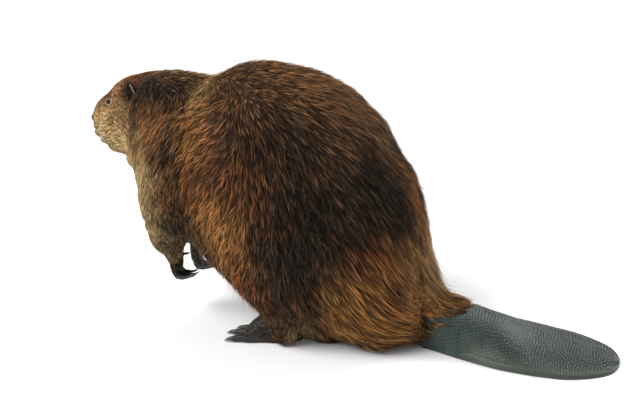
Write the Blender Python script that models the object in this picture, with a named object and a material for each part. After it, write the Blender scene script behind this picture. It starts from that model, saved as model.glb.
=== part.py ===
"""A life-size beaver, propped on its hind feet and flat tail, looking ahead and a little to its right.

It faces -X, its left side is -Y and the floor is at Z = 0. Sizes are in metres.
"""

import math
import random

import bmesh
import bpy
from mathutils import Matrix, Vector
from mathutils.bvhtree import BVHTree

GAP = 0.0003  # kept between neighbouring nodes

# The trunk, as sections through the spine:
# top x, top z, belly x, belly z, half width, roundness of the upper and of the lower half
TRUNK = (
    (-0.190, 0.379, -0.212, 0.222, 0.066, 0.95, 1.00),
    (-0.140, 0.379, -0.180, 0.175, 0.079, 0.95, 1.05),
    (-0.100, 0.379, -0.150, 0.132, 0.095, 0.95, 1.10),
    (-0.060, 0.397, -0.114, 0.094, 0.118, 0.92, 1.15),
    (0.000, 0.407, -0.074, 0.060, 0.136, 0.90, 1.10),
    (0.062, 0.398, -0.034, 0.034, 0.147, 0.90, 1.05),
    (0.117, 0.368, 0.026, 0.014, 0.148, 0.90, 1.00),
    (0.165, 0.315, 0.090, 0.008, 0.138, 0.90, 0.90),
    (0.207, 0.250, 0.138, 0.004, 0.120, 0.92, 0.75),
    (0.228, 0.179, 0.178, 0.002, 0.098, 0.95, 0.65),
    (0.243, 0.117, 0.212, 0.001, 0.078, 1.00, 0.65),
    (0.268, 0.072, 0.248, 0.001, 0.061, 1.00, 0.65),
    (0.300, 0.051, 0.290, 0.001, 0.055, 1.00, 0.65),
    (0.334, 0.032, 0.330, 0.001, 0.050, 1.00, 0.65),
)

# The head, as upright sections across its own axis:
# behind the nose, top and chin above the nose, half width, roundness of the upper and lower half
NOSE = Vector((-0.3305, 0.055, 0.281))
HEAD_YAW = math.radians(9)
HEAD = (
    (0.000, 0.010, -0.011, 0.011, 0.85, 0.85),
    (0.005, 0.021, -0.020, 0.019, 0.75, 0.90),
    (0.013, 0.032, -0.028, 0.026, 0.72, 1.00),
    (0.028, 0.046, -0.035, 0.034, 0.75, 1.10),
    (0.046, 0.060, -0.042, 0.042, 0.78, 1.10),
    (0.069, 0.073, -0.051, 0.050, 0.85, 1.05),
    (0.093, 0.083, -0.066, 0.056, 0.95, 1.00),
    (0.118, 0.089, -0.080, 0.061, 1.00, 1.00),
    (0.142, 0.093, -0.090, 0.065, 1.00, 1.00),
)
CHEEK = dict(behind=0.068, side=0.034, z=-0.006, radii=(0.036, 0.022, 0.036))
EYE = dict(behind=0.057, z=0.042, radius=0.0065)
EAR = dict(behind=0.110, z=0.060, radii=(0.010, 0.012, 0.017), cup=(0.010, 0.009, 0.013))
NOSE_PAD = dict(radii=(0.007, 0.0135, 0.0095), nostril=0.0028)

# Limbs, as (x, distance from the midline, z, radius)
ARM = (
    (-0.122, 0.050, 0.296, 0.050),
    (-0.138, 0.066, 0.245, 0.047),
    (-0.150, 0.072, 0.198, 0.039),
    (-0.156, 0.060, 0.155, 0.031),
    (-0.158, 0.045, 0.124, 0.023),
    (-0.156, 0.037, 0.102, 0.017),
)
ARM_INSIDE = (0.030, 0.032, 0.034, 0.026, 0.014, 0.008)  # how near the midline each station reaches
FAR_ARM_DROP = 0.016  # the right forepaw hangs this much lower
THIGH = dict(at=(0.048, 0.088, 0.150), radii=(0.088, 0.060, 0.112), lean=math.radians(-22))
SHANK = (
    (0.022, 0.090, 0.112, 0.058),
    (0.036, 0.084, 0.074, 0.046),
    (0.046, 0.078, 0.046, 0.038),
    (0.050, 0.075, 0.022, 0.032),
)
RUMP = dict(at=(0.170, 0.045, 0.064), radii=(0.080, 0.054, 0.080))

# The hind foot, as (x, distance from the midline, half width, height), heel first, and its toes
FOOT = (
    (0.084, 0.064, 0.012, 0.020),
    (0.070, 0.065, 0.019, 0.032),
    (0.045, 0.067, 0.023, 0.046),
    (0.020, 0.069, 0.027, 0.046),
    (0.000, 0.071, 0.032, 0.034),
    (-0.014, 0.073, 0.035, 0.019),
)
TOES = dict(spread=(-0.029, -0.018, -0.004, 0.013, 0.034), reach=(0.003, 0.013, 0.026, 0.034, 0.029))
TOE_BASE = (-0.004, 0.072)
TOE_RADIUS = 0.0062
CLAW_LENGTH = 0.012

# The forepaw: palm, and five digits that curl back towards the belly
PALM = dict(length=0.034, half_width=0.0145, half_depth=0.0085)
DIGITS = dict(spread=(-0.0115, -0.0040, 0.0035, 0.0110), length=(0.017, 0.021, 0.021, 0.018))
DIGIT_RADIUS = 0.0042

# The tail blade, as (x, middle y, half width, thickness)
TAIL = (
    (0.232, 0.015, 0.047, 0.036),
    (0.262, 0.014, 0.056, 0.038),
    (0.290, 0.012, 0.064, 0.037),
    (0.320, 0.010, 0.071, 0.031),
    (0.350, 0.007, 0.076, 0.026),
    (0.380, 0.004, 0.076, 0.022),
    (0.410, 0.003, 0.075, 0.019),
    (0.440, 0.002, 0.071, 0.016),
    (0.465, 0.002, 0.064, 0.014),
    (0.485, 0.002, 0.055, 0.012),
    (0.502, 0.002, 0.043, 0.011),
    (0.514, 0.001, 0.030, 0.009),
    (0.521, 0.000, 0.016, 0.007),
)

LEG_INSIDE = 0.045  # the haunch node reaches this near the midline
REACH = 0.006  # by which the block that takes a limb is wider than the limb

# Where the body is parted: a point on each cut and the direction that it faces
HEAD_CUT = dict(behind=0.126, z=0.02, lean=math.radians(-12))
NECK_CUT = (Vector((-0.122, 0, 0.28)), Vector((-1, 0, 0.25)))
WAIST_CUT = (Vector((0.040, 0, 0.22)), Vector((-1, 0, 0.35)))
ROOT_CUT = (Vector((0.226, 0, 0.06)), Vector((-1, 0, 0.30)))
LEATHER_CUT = (Vector((0.278, 0, 0.022)), Vector((-1, 0, 1.35)))
WRIST_CUT = (Vector((-0.156, 0, 0.106)), Vector((0.12, 0, 1)))

MOUTH = dict(front_z=-0.015, corner_z=-0.011)

# The long coat: flat locks that overlap along the lie, on a core drawn in by COAT
COAT = 0.0065
LOCK = dict(length=0.100, half_width=0.027, half_thickness=0.0026, along=0.072, across=0.051, seed=7)
LOCK_RISE = (-0.0045, 0.0032, 0.0062, 0.0048)  # of the middle over the core, from root to tip
LOCK_WIDTH = (0.60, 1.00, 0.78)
# Lie of the coat seen from the side, as (x, z) of a place and the way that the hair runs there
LIE = (
    ((-0.180, 0.370), (1.00, -0.15)),
    ((-0.170, 0.300), (0.75, -0.65)),
    ((-0.200, 0.220), (0.15, -1.00)),
    ((-0.110, 0.330), (0.80, -0.60)),
    ((-0.130, 0.220), (0.00, -1.00)),
    ((-0.100, 0.120), (-0.15, -1.00)),
    ((0.000, 0.400), (1.00, -0.35)),
    ((0.000, 0.300), (0.55, -0.85)),
    ((-0.010, 0.180), (-0.05, -1.00)),
    ((0.060, 0.150), (0.25, -1.00)),
    ((0.120, 0.360), (0.90, -0.75)),
    ((0.160, 0.250), (0.70, -0.75)),
    ((0.160, 0.100), (0.75, -0.60)),
    ((0.240, 0.090), (1.00, -0.30)),
    ((0.250, 0.030), (1.00, -0.05)),
    ((0.040, 0.050), (0.30, -1.00)),
)

# Colour and roughness of each kind of node
FUR = (0.085, 0.045, 0.022)
FINISH = dict(
    head=((0.20, 0.12, 0.06), 0.8),
    nose=((0.012, 0.011, 0.011), 0.5),
    eye=((0.010, 0.007, 0.005), 0.08),
    ear=((0.040, 0.026, 0.018), 0.8),
    neck=((0.10, 0.055, 0.028), 0.8),
    torso=(FUR, 0.8),
    rump=((0.11, 0.055, 0.024), 0.8),
    hind_leg=((0.075, 0.042, 0.022), 0.8),
    hind_foot=((0.022, 0.020, 0.018), 0.6),
    foreleg=((0.060, 0.036, 0.021), 0.8),
    forepaw=((0.014, 0.013, 0.012), 0.55),
    tail_root=((0.15, 0.075, 0.028), 0.8),
    tail=((0.060, 0.075, 0.070), 0.45),
)

BODY_VOXEL = 0.005
BODY_TRIANGLES = 2150
HEAD_VOXEL = 0.0032
HEAD_TRIANGLES = 5200


def clear_scene():
    for obj in list(bpy.data.objects):
        bpy.data.objects.remove(obj)


def add_mesh(name, bm):
    """Makes an object of a bmesh, with its faces turned outwards."""
    bmesh.ops.recalc_face_normals(bm, faces=bm.faces)
    mesh = bpy.data.meshes.new(name)
    bm.to_mesh(mesh)
    bm.free()
    obj = bpy.data.objects.new(name, mesh)
    bpy.context.scene.collection.objects.link(obj)
    return obj


def bake(obj, *modifiers):
    """Adds each (type, settings) modifier in turn and leaves their result as the object's mesh."""
    for kind, settings in modifiers:
        modifier = obj.modifiers.new(kind, kind)
        for key, value in settings.items():
            setattr(modifier, key, value)
    graph = bpy.context.evaluated_depsgraph_get()
    mesh = bpy.data.meshes.new_from_object(obj.evaluated_get(graph))
    obj.modifiers.clear()
    old = obj.data
    obj.data = mesh
    bpy.data.meshes.remove(old)
    return obj


def loft(bm, rings):
    """Skins rings of points, all of one length, and closes both ends."""
    made = [[bm.verts.new(point) for point in ring] for ring in rings]
    sides = len(made[0])
    for lower, upper in zip(made, made[1:]):
        for k in range(sides):
            after = (k + 1) % sides
            bm.faces.new((lower[k], lower[after], upper[after], upper[k]))
    bm.faces.new(made[0])
    bm.faces.new(made[-1])


def section(centre, across, upright, half_width, half_height, sides=28, above=1.0, below=1.0):
    """An oval ring round centre; above and below under 1 square that half off, over 1 narrow it."""
    ring = []
    for k in range(sides):
        turn = math.tau * k / sides
        c, s = math.cos(turn), math.sin(turn)
        power = above if s > 0 else below
        c = math.copysign(abs(c) ** power, c)
        s = math.copysign(abs(s) ** power, s)
        ring.append(centre + across * (half_width * c) + upright * (half_height * s))
    return ring


def domed(rings, near, far):
    """Adds shrinking rings at both ends, so that the loft ends round and not flat."""
    def cap(ring, towards):
        centre = sum(ring, Vector()) / len(ring)
        out = []
        for turn in (30, 60, 85):
            a = math.radians(turn)
            out.append([centre + (p - centre) * math.cos(a) + towards * math.sin(a) for p in ring])
        return out

    return cap(rings[0], near)[::-1] + rings + cap(rings[-1], far)


def trunk(bm):
    rings = []
    for top_x, top_z, low_x, low_z, half_width, above, below in TRUNK:
        top, low = Vector((top_x, 0, top_z)), Vector((low_x, 0, low_z))
        upright = (top - low) / 2
        middle = (top + low) / 2
        rings.append(section(middle, Vector((0, 1, 0)), upright, half_width, 1.0, 28, above, below))
    loft(bm, domed(rings, Vector((-0.03, 0, 0)), Vector((0.012, 0, -0.004))))


def head_axes():
    ahead = Vector((-math.cos(HEAD_YAW), math.sin(HEAD_YAW), 0))
    left = Vector((-math.sin(HEAD_YAW), -math.cos(HEAD_YAW), 0))
    return ahead, left


def on_head(behind, left, up):
    """A point by its distance behind the nose, to the left of the head's midline, and above the nose."""
    forward, sideways = head_axes()
    return NOSE - forward * behind + sideways * left + Vector((0, 0, up))


def head_cut():
    """A point on the cut behind the head, and the way ahead of it."""
    lean = HEAD_CUT["lean"]
    forward, _ = head_axes()
    ahead = forward * math.cos(lean) - Vector((0, 0, math.sin(lean)))
    return on_head(HEAD_CUT["behind"], 0, HEAD_CUT["z"]), ahead


def head(bm):
    forward, sideways = head_axes()
    rings = []
    for behind, top_z, low_z, half_width, above, below in HEAD:
        centre = on_head(behind, 0, (top_z + low_z) / 2)
        upright = Vector((0, 0, (top_z - low_z) / 2))
        rings.append(section(centre, sideways, upright, half_width, 1.0, 28, above, below))
    loft(bm, domed(rings, forward * 0.003, forward * -0.02))


def ellipsoid(bm, centre, radii, turn=None, segments=24):
    place = Matrix.Translation(centre) @ (turn or Matrix.Identity(4)) @ Matrix.Diagonal((*radii, 1))
    bmesh.ops.create_uvsphere(bm, u_segments=segments, v_segments=segments // 2, radius=1.0, matrix=place)


def limb(bm, stations, side, sides=20):
    """A round limb through stations of (x, distance from the midline, z, radius)."""
    points = [Vector((x, side * y, z)) for x, y, z, _ in stations]
    rings = []
    for k, point in enumerate(points):
        along = (points[min(k + 1, len(points) - 1)] - points[max(k - 1, 0)]).normalized()
        across = Vector((0, 1, 0)).cross(along).normalized()
        upright = along.cross(across)
        rings.append(section(point, across, upright, stations[k][3], stations[k][3], sides))
    ends = (points[0] - points[1]).normalized(), (points[-1] - points[-2]).normalized()
    loft(bm, domed(rings, ends[0] * stations[0][3], ends[1] * stations[-1][3]))


def arm_stations(side):
    """The arm's stations, with the right one hanging a little lower."""
    drop = FAR_ARM_DROP if side > 0 else 0.0
    top, bottom = ARM[0][2], ARM[-1][2]
    return [(x, y, z - drop * (top - z) / (top - bottom), r) for x, y, z, r in ARM]


def body_core(name, voxel, smoothing):
    """Trunk, head and the thick of the limbs, blended into one smooth closed form."""
    bm = bmesh.new()
    trunk(bm)
    head(bm)
    for side in (-1, 1):
        cheek = on_head(CHEEK["behind"], -side * CHEEK["side"], CHEEK["z"])
        ellipsoid(bm, cheek, CHEEK["radii"], Matrix.Rotation(-HEAD_YAW, 4, "Z"))
        limb(bm, arm_stations(side), side)
        thigh(bm, side)
        x, y, z = RUMP["at"]
        ellipsoid(bm, Vector((x, side * y, z)), RUMP["radii"])
    core = add_mesh(name, bm)
    return bake(
        core,
        ("REMESH", dict(mode="VOXEL", voxel_size=voxel)),
        ("SMOOTH", dict(factor=0.5, iterations=smoothing)),
    )


def ramp(value, start, end):
    """0 at start, 1 at end, and smooth between them."""
    t = min(1.0, max(0.0, (value - start) / (end - start)))
    return t * t * (3 - 2 * t)


def beyond(cut, point):
    """How far the point lies on the side that the cut faces."""
    return (point - cut[0]).dot(cut[1].normalized())


def coat(point):
    """How much of the full coat stands at a place: none on the head, hands, feet and leather."""
    share = ramp(-beyond(head_cut(), point), -0.004, 0.020)
    share *= ramp(beyond(LEATHER_CUT, point), 0.000, 0.016)
    if point.x < -0.118:
        share *= ramp(point.z, 0.170, 0.235)
    return share * ramp(point.z, 0.008, 0.030)


def lie(point, normal):
    """The way that the coat runs at a place, laid along the surface."""
    way = Vector()
    for (x, z), (dx, dz) in LIE:
        nearness = 1 / ((point.x - x) ** 2 + (point.z - z) ** 2 + 0.0009) ** 2
        way += Vector((dx, 0, dz)).normalized() * nearness
    way.normalize()
    return (way - normal * way.dot(normal)).normalized()


def draw_in(obj, depth):
    """Moves the surface in by depth where the full coat stands."""
    moves = [(v.co.copy(), v.normal.copy()) for v in obj.data.vertices]
    for vert, (place, normal) in zip(obj.data.vertices, moves):
        vert.co = place - normal * (depth * coat(place))
    obj.data.update()
    return obj


def lock_size(point):
    """Locks are smaller on the neck, arms and shanks, and longest on the rump and tail root."""
    size = 0.78 + 0.22 * ramp(point.x, -0.16, -0.06)
    size *= 1.0 + 0.10 * ramp(point.x, 0.10, 0.20)
    return size * (0.72 + 0.28 * ramp(point.z, 0.05, 0.14))


def lock_roots(obj, draw):
    """Places over the core, spread evenly, and further apart along the lie than across it."""
    centres = [(p.center.copy(), p.normal.copy()) for p in obj.data.polygons]
    draw.shuffle(centres)
    chosen = []
    for place, normal in centres:
        if coat(place) < 0.5 or not clear_of_hands(place):
            continue
        size = lock_size(place)
        way = lie(place, normal)
        for other, _ in chosen:
            apart = place - other
            if apart.length > LOCK["along"] * 1.2:
                continue
            along = apart.dot(way)
            across = (apart - way * along).length
            if (along / (LOCK["along"] * size)) ** 2 + (across / (LOCK["across"] * size)) ** 2 < 1:
                break
        else:
            chosen.append((place, size))
    return chosen


def clear_of_hands(point):
    """False behind the forearms, where the claws reach back to the belly."""
    return point.x > -0.085 or abs(point.y) > 0.085 or point.z > 0.150


def short_of_cuts(root, way, length):
    """The length at which a lock ends just ahead of a cut that it would cross, if enough is left."""
    for cut in (NECK_CUT, WAIST_CUT, ROOT_CUT, LEATHER_CUT):
        here, there = beyond(cut, root), beyond(cut, root + way * length)
        if here > 0 > there:
            length *= max(0.45, 0.97 * here / (here - there))
    return length


def lock(bm, tree, root, size, swing):
    """One flat, tapered lock: its root sunk in the core, its middle raised, its tip laid down."""
    steps = len(LOCK_RISE) - 1
    place, normal, _, _ = tree.find_nearest(root)
    length = short_of_cuts(place, lie(place, normal), LOCK["length"] * size)
    made = []
    for k, rise in enumerate(LOCK_RISE):
        way = Matrix.Rotation(swing * (k / steps - 0.4), 3, normal) @ lie(place, normal)
        across = way.cross(normal).normalized()
        middle = place + normal * rise
        made.append((middle, across, normal))
        if k < steps:
            place, normal, _, _ = tree.find_nearest(place + way * (length / steps))
    rings = []
    for (middle, across, normal), share in zip(made, LOCK_WIDTH):
        wide = across * (LOCK["half_width"] * size * share)
        thick = normal * (LOCK["half_thickness"] * (0.6 + 0.4 * share))
        corners = (middle - wide, middle + thick, middle + wide, middle - thick * 0.7)
        rings.append([bm.verts.new(p) for p in corners])
    tip = bm.verts.new(made[-1][0])
    for ring, following in zip(rings, rings[1:]):
        for k in range(4):
            after = (k + 1) % 4
            bm.faces.new((ring[k], ring[after], following[after], following[k]))
    bm.faces.new(rings[0])
    for k in range(4):
        bm.faces.new((rings[-1][k], rings[-1][(k + 1) % 4], tip))
    bmesh.ops.triangulate(bm, faces=bm.faces)


def coat_locks(obj):
    """Every lock of the long coat, each a closed object."""
    bm = bmesh.new()
    bm.from_mesh(obj.data)
    tree = BVHTree.FromBMesh(bm)
    bm.free()
    draw = random.Random(LOCK["seed"])
    made = []
    for place, size in lock_roots(obj, draw):
        size *= draw.uniform(0.88, 1.12)
        swing = math.radians(draw.uniform(-24, 24))
        made.append(piece("lock", lock, tree, place, size, swing))
    return made


def thin_out(obj, triangles):
    """Brings the object down to about so many triangles."""
    now = sum(len(p.vertices) - 2 for p in obj.data.polygons)
    return bake(obj, ("DECIMATE", dict(ratio=min(1.0, triangles / now))))


def thigh(bm, side):
    """The haunch and the furred shank under it."""
    x, y, z = THIGH["at"]
    ellipsoid(bm, Vector((x, side * y, z)), THIGH["radii"], Matrix.Rotation(THIGH["lean"], 4, "Y"))
    limb(bm, SHANK, side)


def boolean(obj, operation, others):
    """One exact Boolean of the object with all the others at once; the others are then removed."""
    group = bpy.data.collections.new("cutters")
    for other in others:
        bpy.context.scene.collection.objects.unlink(other)
        group.objects.link(other)
    bpy.context.scene.collection.children.link(group)
    settings = dict(operation=operation, solver="EXACT", operand_type="COLLECTION", collection=group)
    bake(obj, ("BOOLEAN", settings))
    for other in others:
        bpy.data.objects.remove(other)
    bpy.data.collections.remove(group)
    return keep_largest(obj)


def copy_of(obj, name):
    twin = bpy.data.objects.new(name, obj.data.copy())
    bpy.context.scene.collection.objects.link(twin)
    return twin


def keep_largest(obj):
    """Leaves only the closed surface that holds the most."""
    bm = bmesh.new()
    bm.from_mesh(obj.data)
    bmesh.ops.remove_doubles(bm, verts=bm.verts, dist=0.00001)
    bmesh.ops.dissolve_degenerate(bm, dist=0.00001, edges=bm.edges)
    todo = set(bm.faces)
    shells = []
    while todo:
        shell, edge = set(), [todo.pop()]
        while edge:
            face = edge.pop()
            shell.add(face)
            for side in face.edges:
                beside = side.link_faces if len(side.link_faces) == 2 else ()
                for other in beside:
                    if other in todo:
                        todo.remove(other)
                        edge.append(other)
        shells.append(shell)
    shells.sort(key=shell_volume, reverse=True)
    loose = [face for shell in shells[1:] for face in shell]
    bmesh.ops.delete(bm, geom=loose, context="FACES")
    stray = [vert for vert in bm.verts if not vert.link_faces]
    bmesh.ops.delete(bm, geom=stray, context="VERTS")
    bm.to_mesh(obj.data)
    bm.free()
    return obj


def shell_volume(shell):
    total = 0.0
    for face in shell:
        first = face.verts[0].co
        for second, third in zip(face.verts[1:], face.verts[2:]):
            total += first.dot(second.co.cross(third.co)) / 6
    return abs(total)


def half_space(name, point, normal):
    """A large box that fills the side of the cut that the normal faces, GAP / 2 clear of it."""
    normal = normal.normalized()
    turn = normal.to_track_quat("Z", "Y").to_matrix().to_4x4()
    size = 1.2
    bm = bmesh.new()
    place = Matrix.Translation(point + normal * (size / 2 + GAP / 2)) @ turn @ Matrix.Scale(size, 4)
    bmesh.ops.create_cube(bm, size=1.0, matrix=place)
    return add_mesh(name, bm)


def part_along(obj, cut, name_ahead):
    """Takes what lies ahead of the cut off the object, as a node of its own."""
    point, normal = cut
    ahead = copy_of(obj, name_ahead)
    boolean(ahead, "INTERSECT", [half_space("cut", point, normal)])
    boolean(obj, "INTERSECT", [half_space("cut", point, -normal)])
    return ahead


def take_limb(obj, name, build, side):
    """Takes the limb that build(bm, side, grow) boxes in off the object, as a node of its own."""
    taken = copy_of(obj, name)
    boolean(taken, "INTERSECT", [piece("region", build, side, 0.0)])
    boolean(obj, "DIFFERENCE", [piece("region", build, side, GAP)])
    return taken


def arm_region(bm, side, grow):
    """A squared tube round the arm, open to the outside of the body."""
    rings = []
    for (x, y, z, r), inside in zip(arm_stations(side), ARM_INSIDE):
        outside = y + r + 0.04
        middle = Vector((x, side * (inside + outside) / 2, z))
        half = (outside - inside) / 2 + grow
        ring = section(middle, Vector((0, 1, 0)), Vector((1, 0, 0)), half, r + REACH + grow, 12, 0.45, 0.45)
        rings.append(ring)
    up, down = Vector((0, 0, REACH + grow)), Vector((0, 0, -0.03))
    rings.insert(0, [p.lerp(sum(rings[0], Vector()) / len(rings[0]), 0.25) + up * 2.5 for p in rings[0]])
    rings.append([p + down for p in rings[-1]])
    loft(bm, rings)


def leg_region(bm, side, grow):
    """An oval block that takes in the haunch and shank from inside the flank outwards."""
    inner, outer = side * (LEG_INSIDE - grow), side * 0.25
    rings = []
    for y in (inner, outer):
        ring = []
        for k in range(20):
            turn = math.tau * k / 20
            c, s = math.cos(turn), math.sin(turn)
            x, _, z = THIGH["at"]
            wide, _, tall = THIGH["radii"]
            if s > -0.2:
                ring.append(Vector((x + (wide + grow) * c, y, z + (tall + grow) * s)))
            else:
                x = x * (1 + s) - SHANK[-1][0] * s
                wide = wide * (1 + s) - (SHANK[-1][3] + REACH) * s
                ring.append(Vector((x + (wide + grow) * c * 1.15, y, z + (z + 0.02) * s)))
        rings.append(ring)
    loft(bm, rings)


def tube(bm, points, radii, sides=6, flat=1.0, across=None):
    """A bent round or flattened rod through points, closed at both ends."""
    rings = []
    across = (across or Vector((0, 1, 0))).normalized()
    for k, point in enumerate(points):
        along = (points[min(k + 1, len(points) - 1)] - points[max(k - 1, 0)]).normalized()
        upright = along.cross(across).normalized()
        across = upright.cross(along).normalized()
        rings.append(section(point, across, upright, radii[k], radii[k] * flat, sides))
    loft(bm, rings)


def piece(name, build, *arguments, **settings):
    """An object of the one closed form that build(bm, ...) makes."""
    bm = bmesh.new()
    build(bm, *arguments, **settings)
    return add_mesh(name, bm)


def floor_half():
    return half_space("floor", Vector((0, 0, -GAP / 2)), Vector((0, 0, 1)))


def sole_section(x, y, half_width, height, across, grow):
    """A flat-soled oval: its widest line is low, and what lies under the floor is cut off later."""
    low = height * 0.30
    centre = Vector((x, y, low))
    return section(centre, across, Vector((0, 0, 1)), half_width + grow, height - low + grow, 12, 0.9, 0.8)


def hind_foot(name, side, grow=0.0):
    """A long webbed foot, flat on the floor, with five clawed toes."""
    rings = []
    for x, y, half_width, height in FOOT:
        rings.append(sole_section(x, side * y, half_width, height, Vector((0, 1, 0)), grow))
    foot = piece(name, loft, domed(rings, Vector((0.006 + grow, 0, 0)), Vector((-0.006 - grow, 0, 0))))
    extras = []
    tips = []
    base_x, base_y = TOE_BASE
    for spread, reach in zip(TOES["spread"], TOES["reach"]):
        base = Vector((base_x, side * (base_y + spread * 0.7), TOE_RADIUS * 1.15))
        tip = Vector((base_x - reach, side * (base_y + spread), TOE_RADIUS * 0.75))
        middle = base.lerp(tip, 0.55) + Vector((0, 0, TOE_RADIUS * 0.25))
        r = TOE_RADIUS + grow
        toe = [base, middle, tip, tip.lerp(middle, -0.35)]
        extras.append(piece("toe", tube, toe, [r, r, r * 0.85, r * 0.45]))
        ahead = (tip - base).normalized()
        claw = [tip, tip + ahead * CLAW_LENGTH * 0.6, tip + ahead * CLAW_LENGTH + Vector((0, 0, -0.003))]
        extras.append(piece("claw", tube, claw, [0.0034 + grow, 0.0026 + grow, 0.0005 + grow], 5))
        tips.append((base, base.lerp(tip, 0.85)))
    extras.append(piece("web", web, tips, 0.0036 + grow))
    boolean(foot, "UNION", extras)
    boolean(foot, "INTERSECT", [floor_half()])
    return foot


def web(bm, tips, thickness):
    """The skin between the toes: a flat sheet from their bases to near their tips, notched between them."""
    outline = [tips[0][0]]
    for (_, here), (_, after) in zip(tips, tips[1:]):
        outline.append(here)
        outline.append((here + after) / 2 + Vector((0.006, 0, 0)))
    outline.append(tips[-1][1])
    outline.append(tips[-1][0])
    upper = [bm.verts.new((p.x, p.y, thickness)) for p in outline]
    lower = [bm.verts.new((p.x, p.y, -0.003)) for p in outline]
    bm.faces.new(upper)
    bm.faces.new(lower[::-1])
    for k in range(len(outline)):
        after = (k + 1) % len(outline)
        bm.faces.new((upper[k], lower[k], lower[after], upper[after]))
    bmesh.ops.triangulate(bm, faces=bm.faces)


def forepaw(name, side):
    """A hanging hand: the palm faces back, and four fingers and a thumb curl towards the belly."""
    x, y, z, _ = arm_stations(side)[-1]
    wrist = Vector((x, side * y, z))
    down = Vector((0.10, 0, -1)).normalized()
    back = Vector((1, 0, 0.10)).normalized()
    half_width, half_depth = PALM["half_width"], PALM["half_depth"]
    palm_points = [wrist + down * (PALM["length"] * t) for t in (-0.25, 0.15, 0.6, 1.0)]
    widths = (half_width * 0.75, half_width * 0.9, half_width, half_width * 0.85)
    paw = piece(name, tube, palm_points, widths, 10, half_depth / half_width)
    knuckles = palm_points[-1]
    extras = []
    for spread, length in zip(DIGITS["spread"], DIGITS["length"]):
        start = knuckles + Vector((0, side * spread, 0)) - down * 0.004
        bend = start + down * (length * 0.45) + back * (length * 0.25)
        curl = bend + back * (length * 0.55) + down * (length * 0.05)
        tip = curl + back * (length * 0.35) - down * (length * 0.10)
        r = DIGIT_RADIUS
        extras.append(piece("digit", tube, [start, bend, curl, tip], [r, r, r * 0.9, r * 0.55]))
        point = tip + back * CLAW_LENGTH - down * 0.005
        claw = [curl.lerp(tip, 0.6), tip + back * 0.005 - down * 0.001, point]
        extras.append(piece("claw", tube, claw, [0.0022, 0.0019, 0.0004], 5))
    start = wrist + down * 0.008 + Vector((0, -side * half_width * 0.6, 0))
    tip = start + back * 0.014 - down * 0.003
    extras.append(piece("thumb", tube, [start, start.lerp(tip, 0.6), tip], [0.0042, 0.0036, 0.0020]))
    claw = [start.lerp(tip, 0.7), tip + back * 0.004, tip + back * 0.008 - down * 0.002]
    extras.append(piece("claw", tube, claw, [0.0018, 0.0014, 0.0004], 5))
    return boolean(paw, "UNION", extras)


def tail_blade(name):
    """The flat tail, thick at its root and thin at its round tip, its underside on the floor."""
    rings = []
    for k, (x, y, half_width, thickness) in enumerate(TAIL):
        ring = []
        sides = 24
        for j in range(sides):
            turn = math.tau * j / sides
            c, s = math.cos(turn), math.sin(turn)
            c = math.copysign(abs(c) ** 0.9, c)
            rise = thickness * (0.40 + 0.60 * s ** 1.2) if s > 0 else thickness * (0.40 + 0.8 * s)
            ring.append(Vector((x, y + half_width * c, rise)))
        rings.append(ring)
    blade = piece(name, loft, rings)
    return boolean(blade, "INTERSECT", [floor_half()])


def surface(tree, origin, direction):
    """Where a ray meets the head, and the way that the skin faces there."""
    place, normal, _, _ = tree.ray_cast(origin, direction)
    return place, normal


def eye_seat(tree, side):
    _, sideways = head_axes()
    outside = on_head(EYE["behind"], -side * 0.12, EYE["z"])
    place, normal = surface(tree, outside, sideways * side)
    return place - normal * (EYE["radius"] * 0.45), normal


def ear_seat(tree, side):
    """Middle of the ear, and its axes: out of the cup, along its width, up to its tip."""
    forward, sideways = head_axes()
    outside = on_head(EAR["behind"], -side * 0.12, EAR["z"])
    place, normal = surface(tree, outside, sideways * side)
    opening = (forward * 0.55 - sideways * side * 0.8).normalized()
    up = (Vector((0, 0, 1)) + normal * 0.25 - forward * 0.25).normalized()
    width = up.cross(opening).normalized()
    opening = width.cross(up)
    middle = place + up * (EAR["radii"][2] * 0.35) + normal * 0.001
    return middle, opening, width, up


def ear_form(bm, seat, radii, shift=0.0):
    middle, opening, width, up = seat
    turn = Matrix((opening, width, up)).transposed().to_4x4()
    ellipsoid(bm, middle + opening * shift, radii, turn, 12)


def mouth_path(tree):
    """Points on the skin along the closed mouth, from corner to corner round the front."""
    forward, sideways = head_axes()
    out = []
    for step in range(-9, 10):
        turn = math.radians(step * 11.0)
        away = abs(step) / 9
        origin = on_head(0.040, 0, MOUTH["front_z"] + (MOUTH["corner_z"] - MOUTH["front_z"]) * away)
        place, normal = surface(tree, origin, forward * math.cos(turn) + sideways * math.sin(turn))
        out.append((place, normal))
    return out


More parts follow.
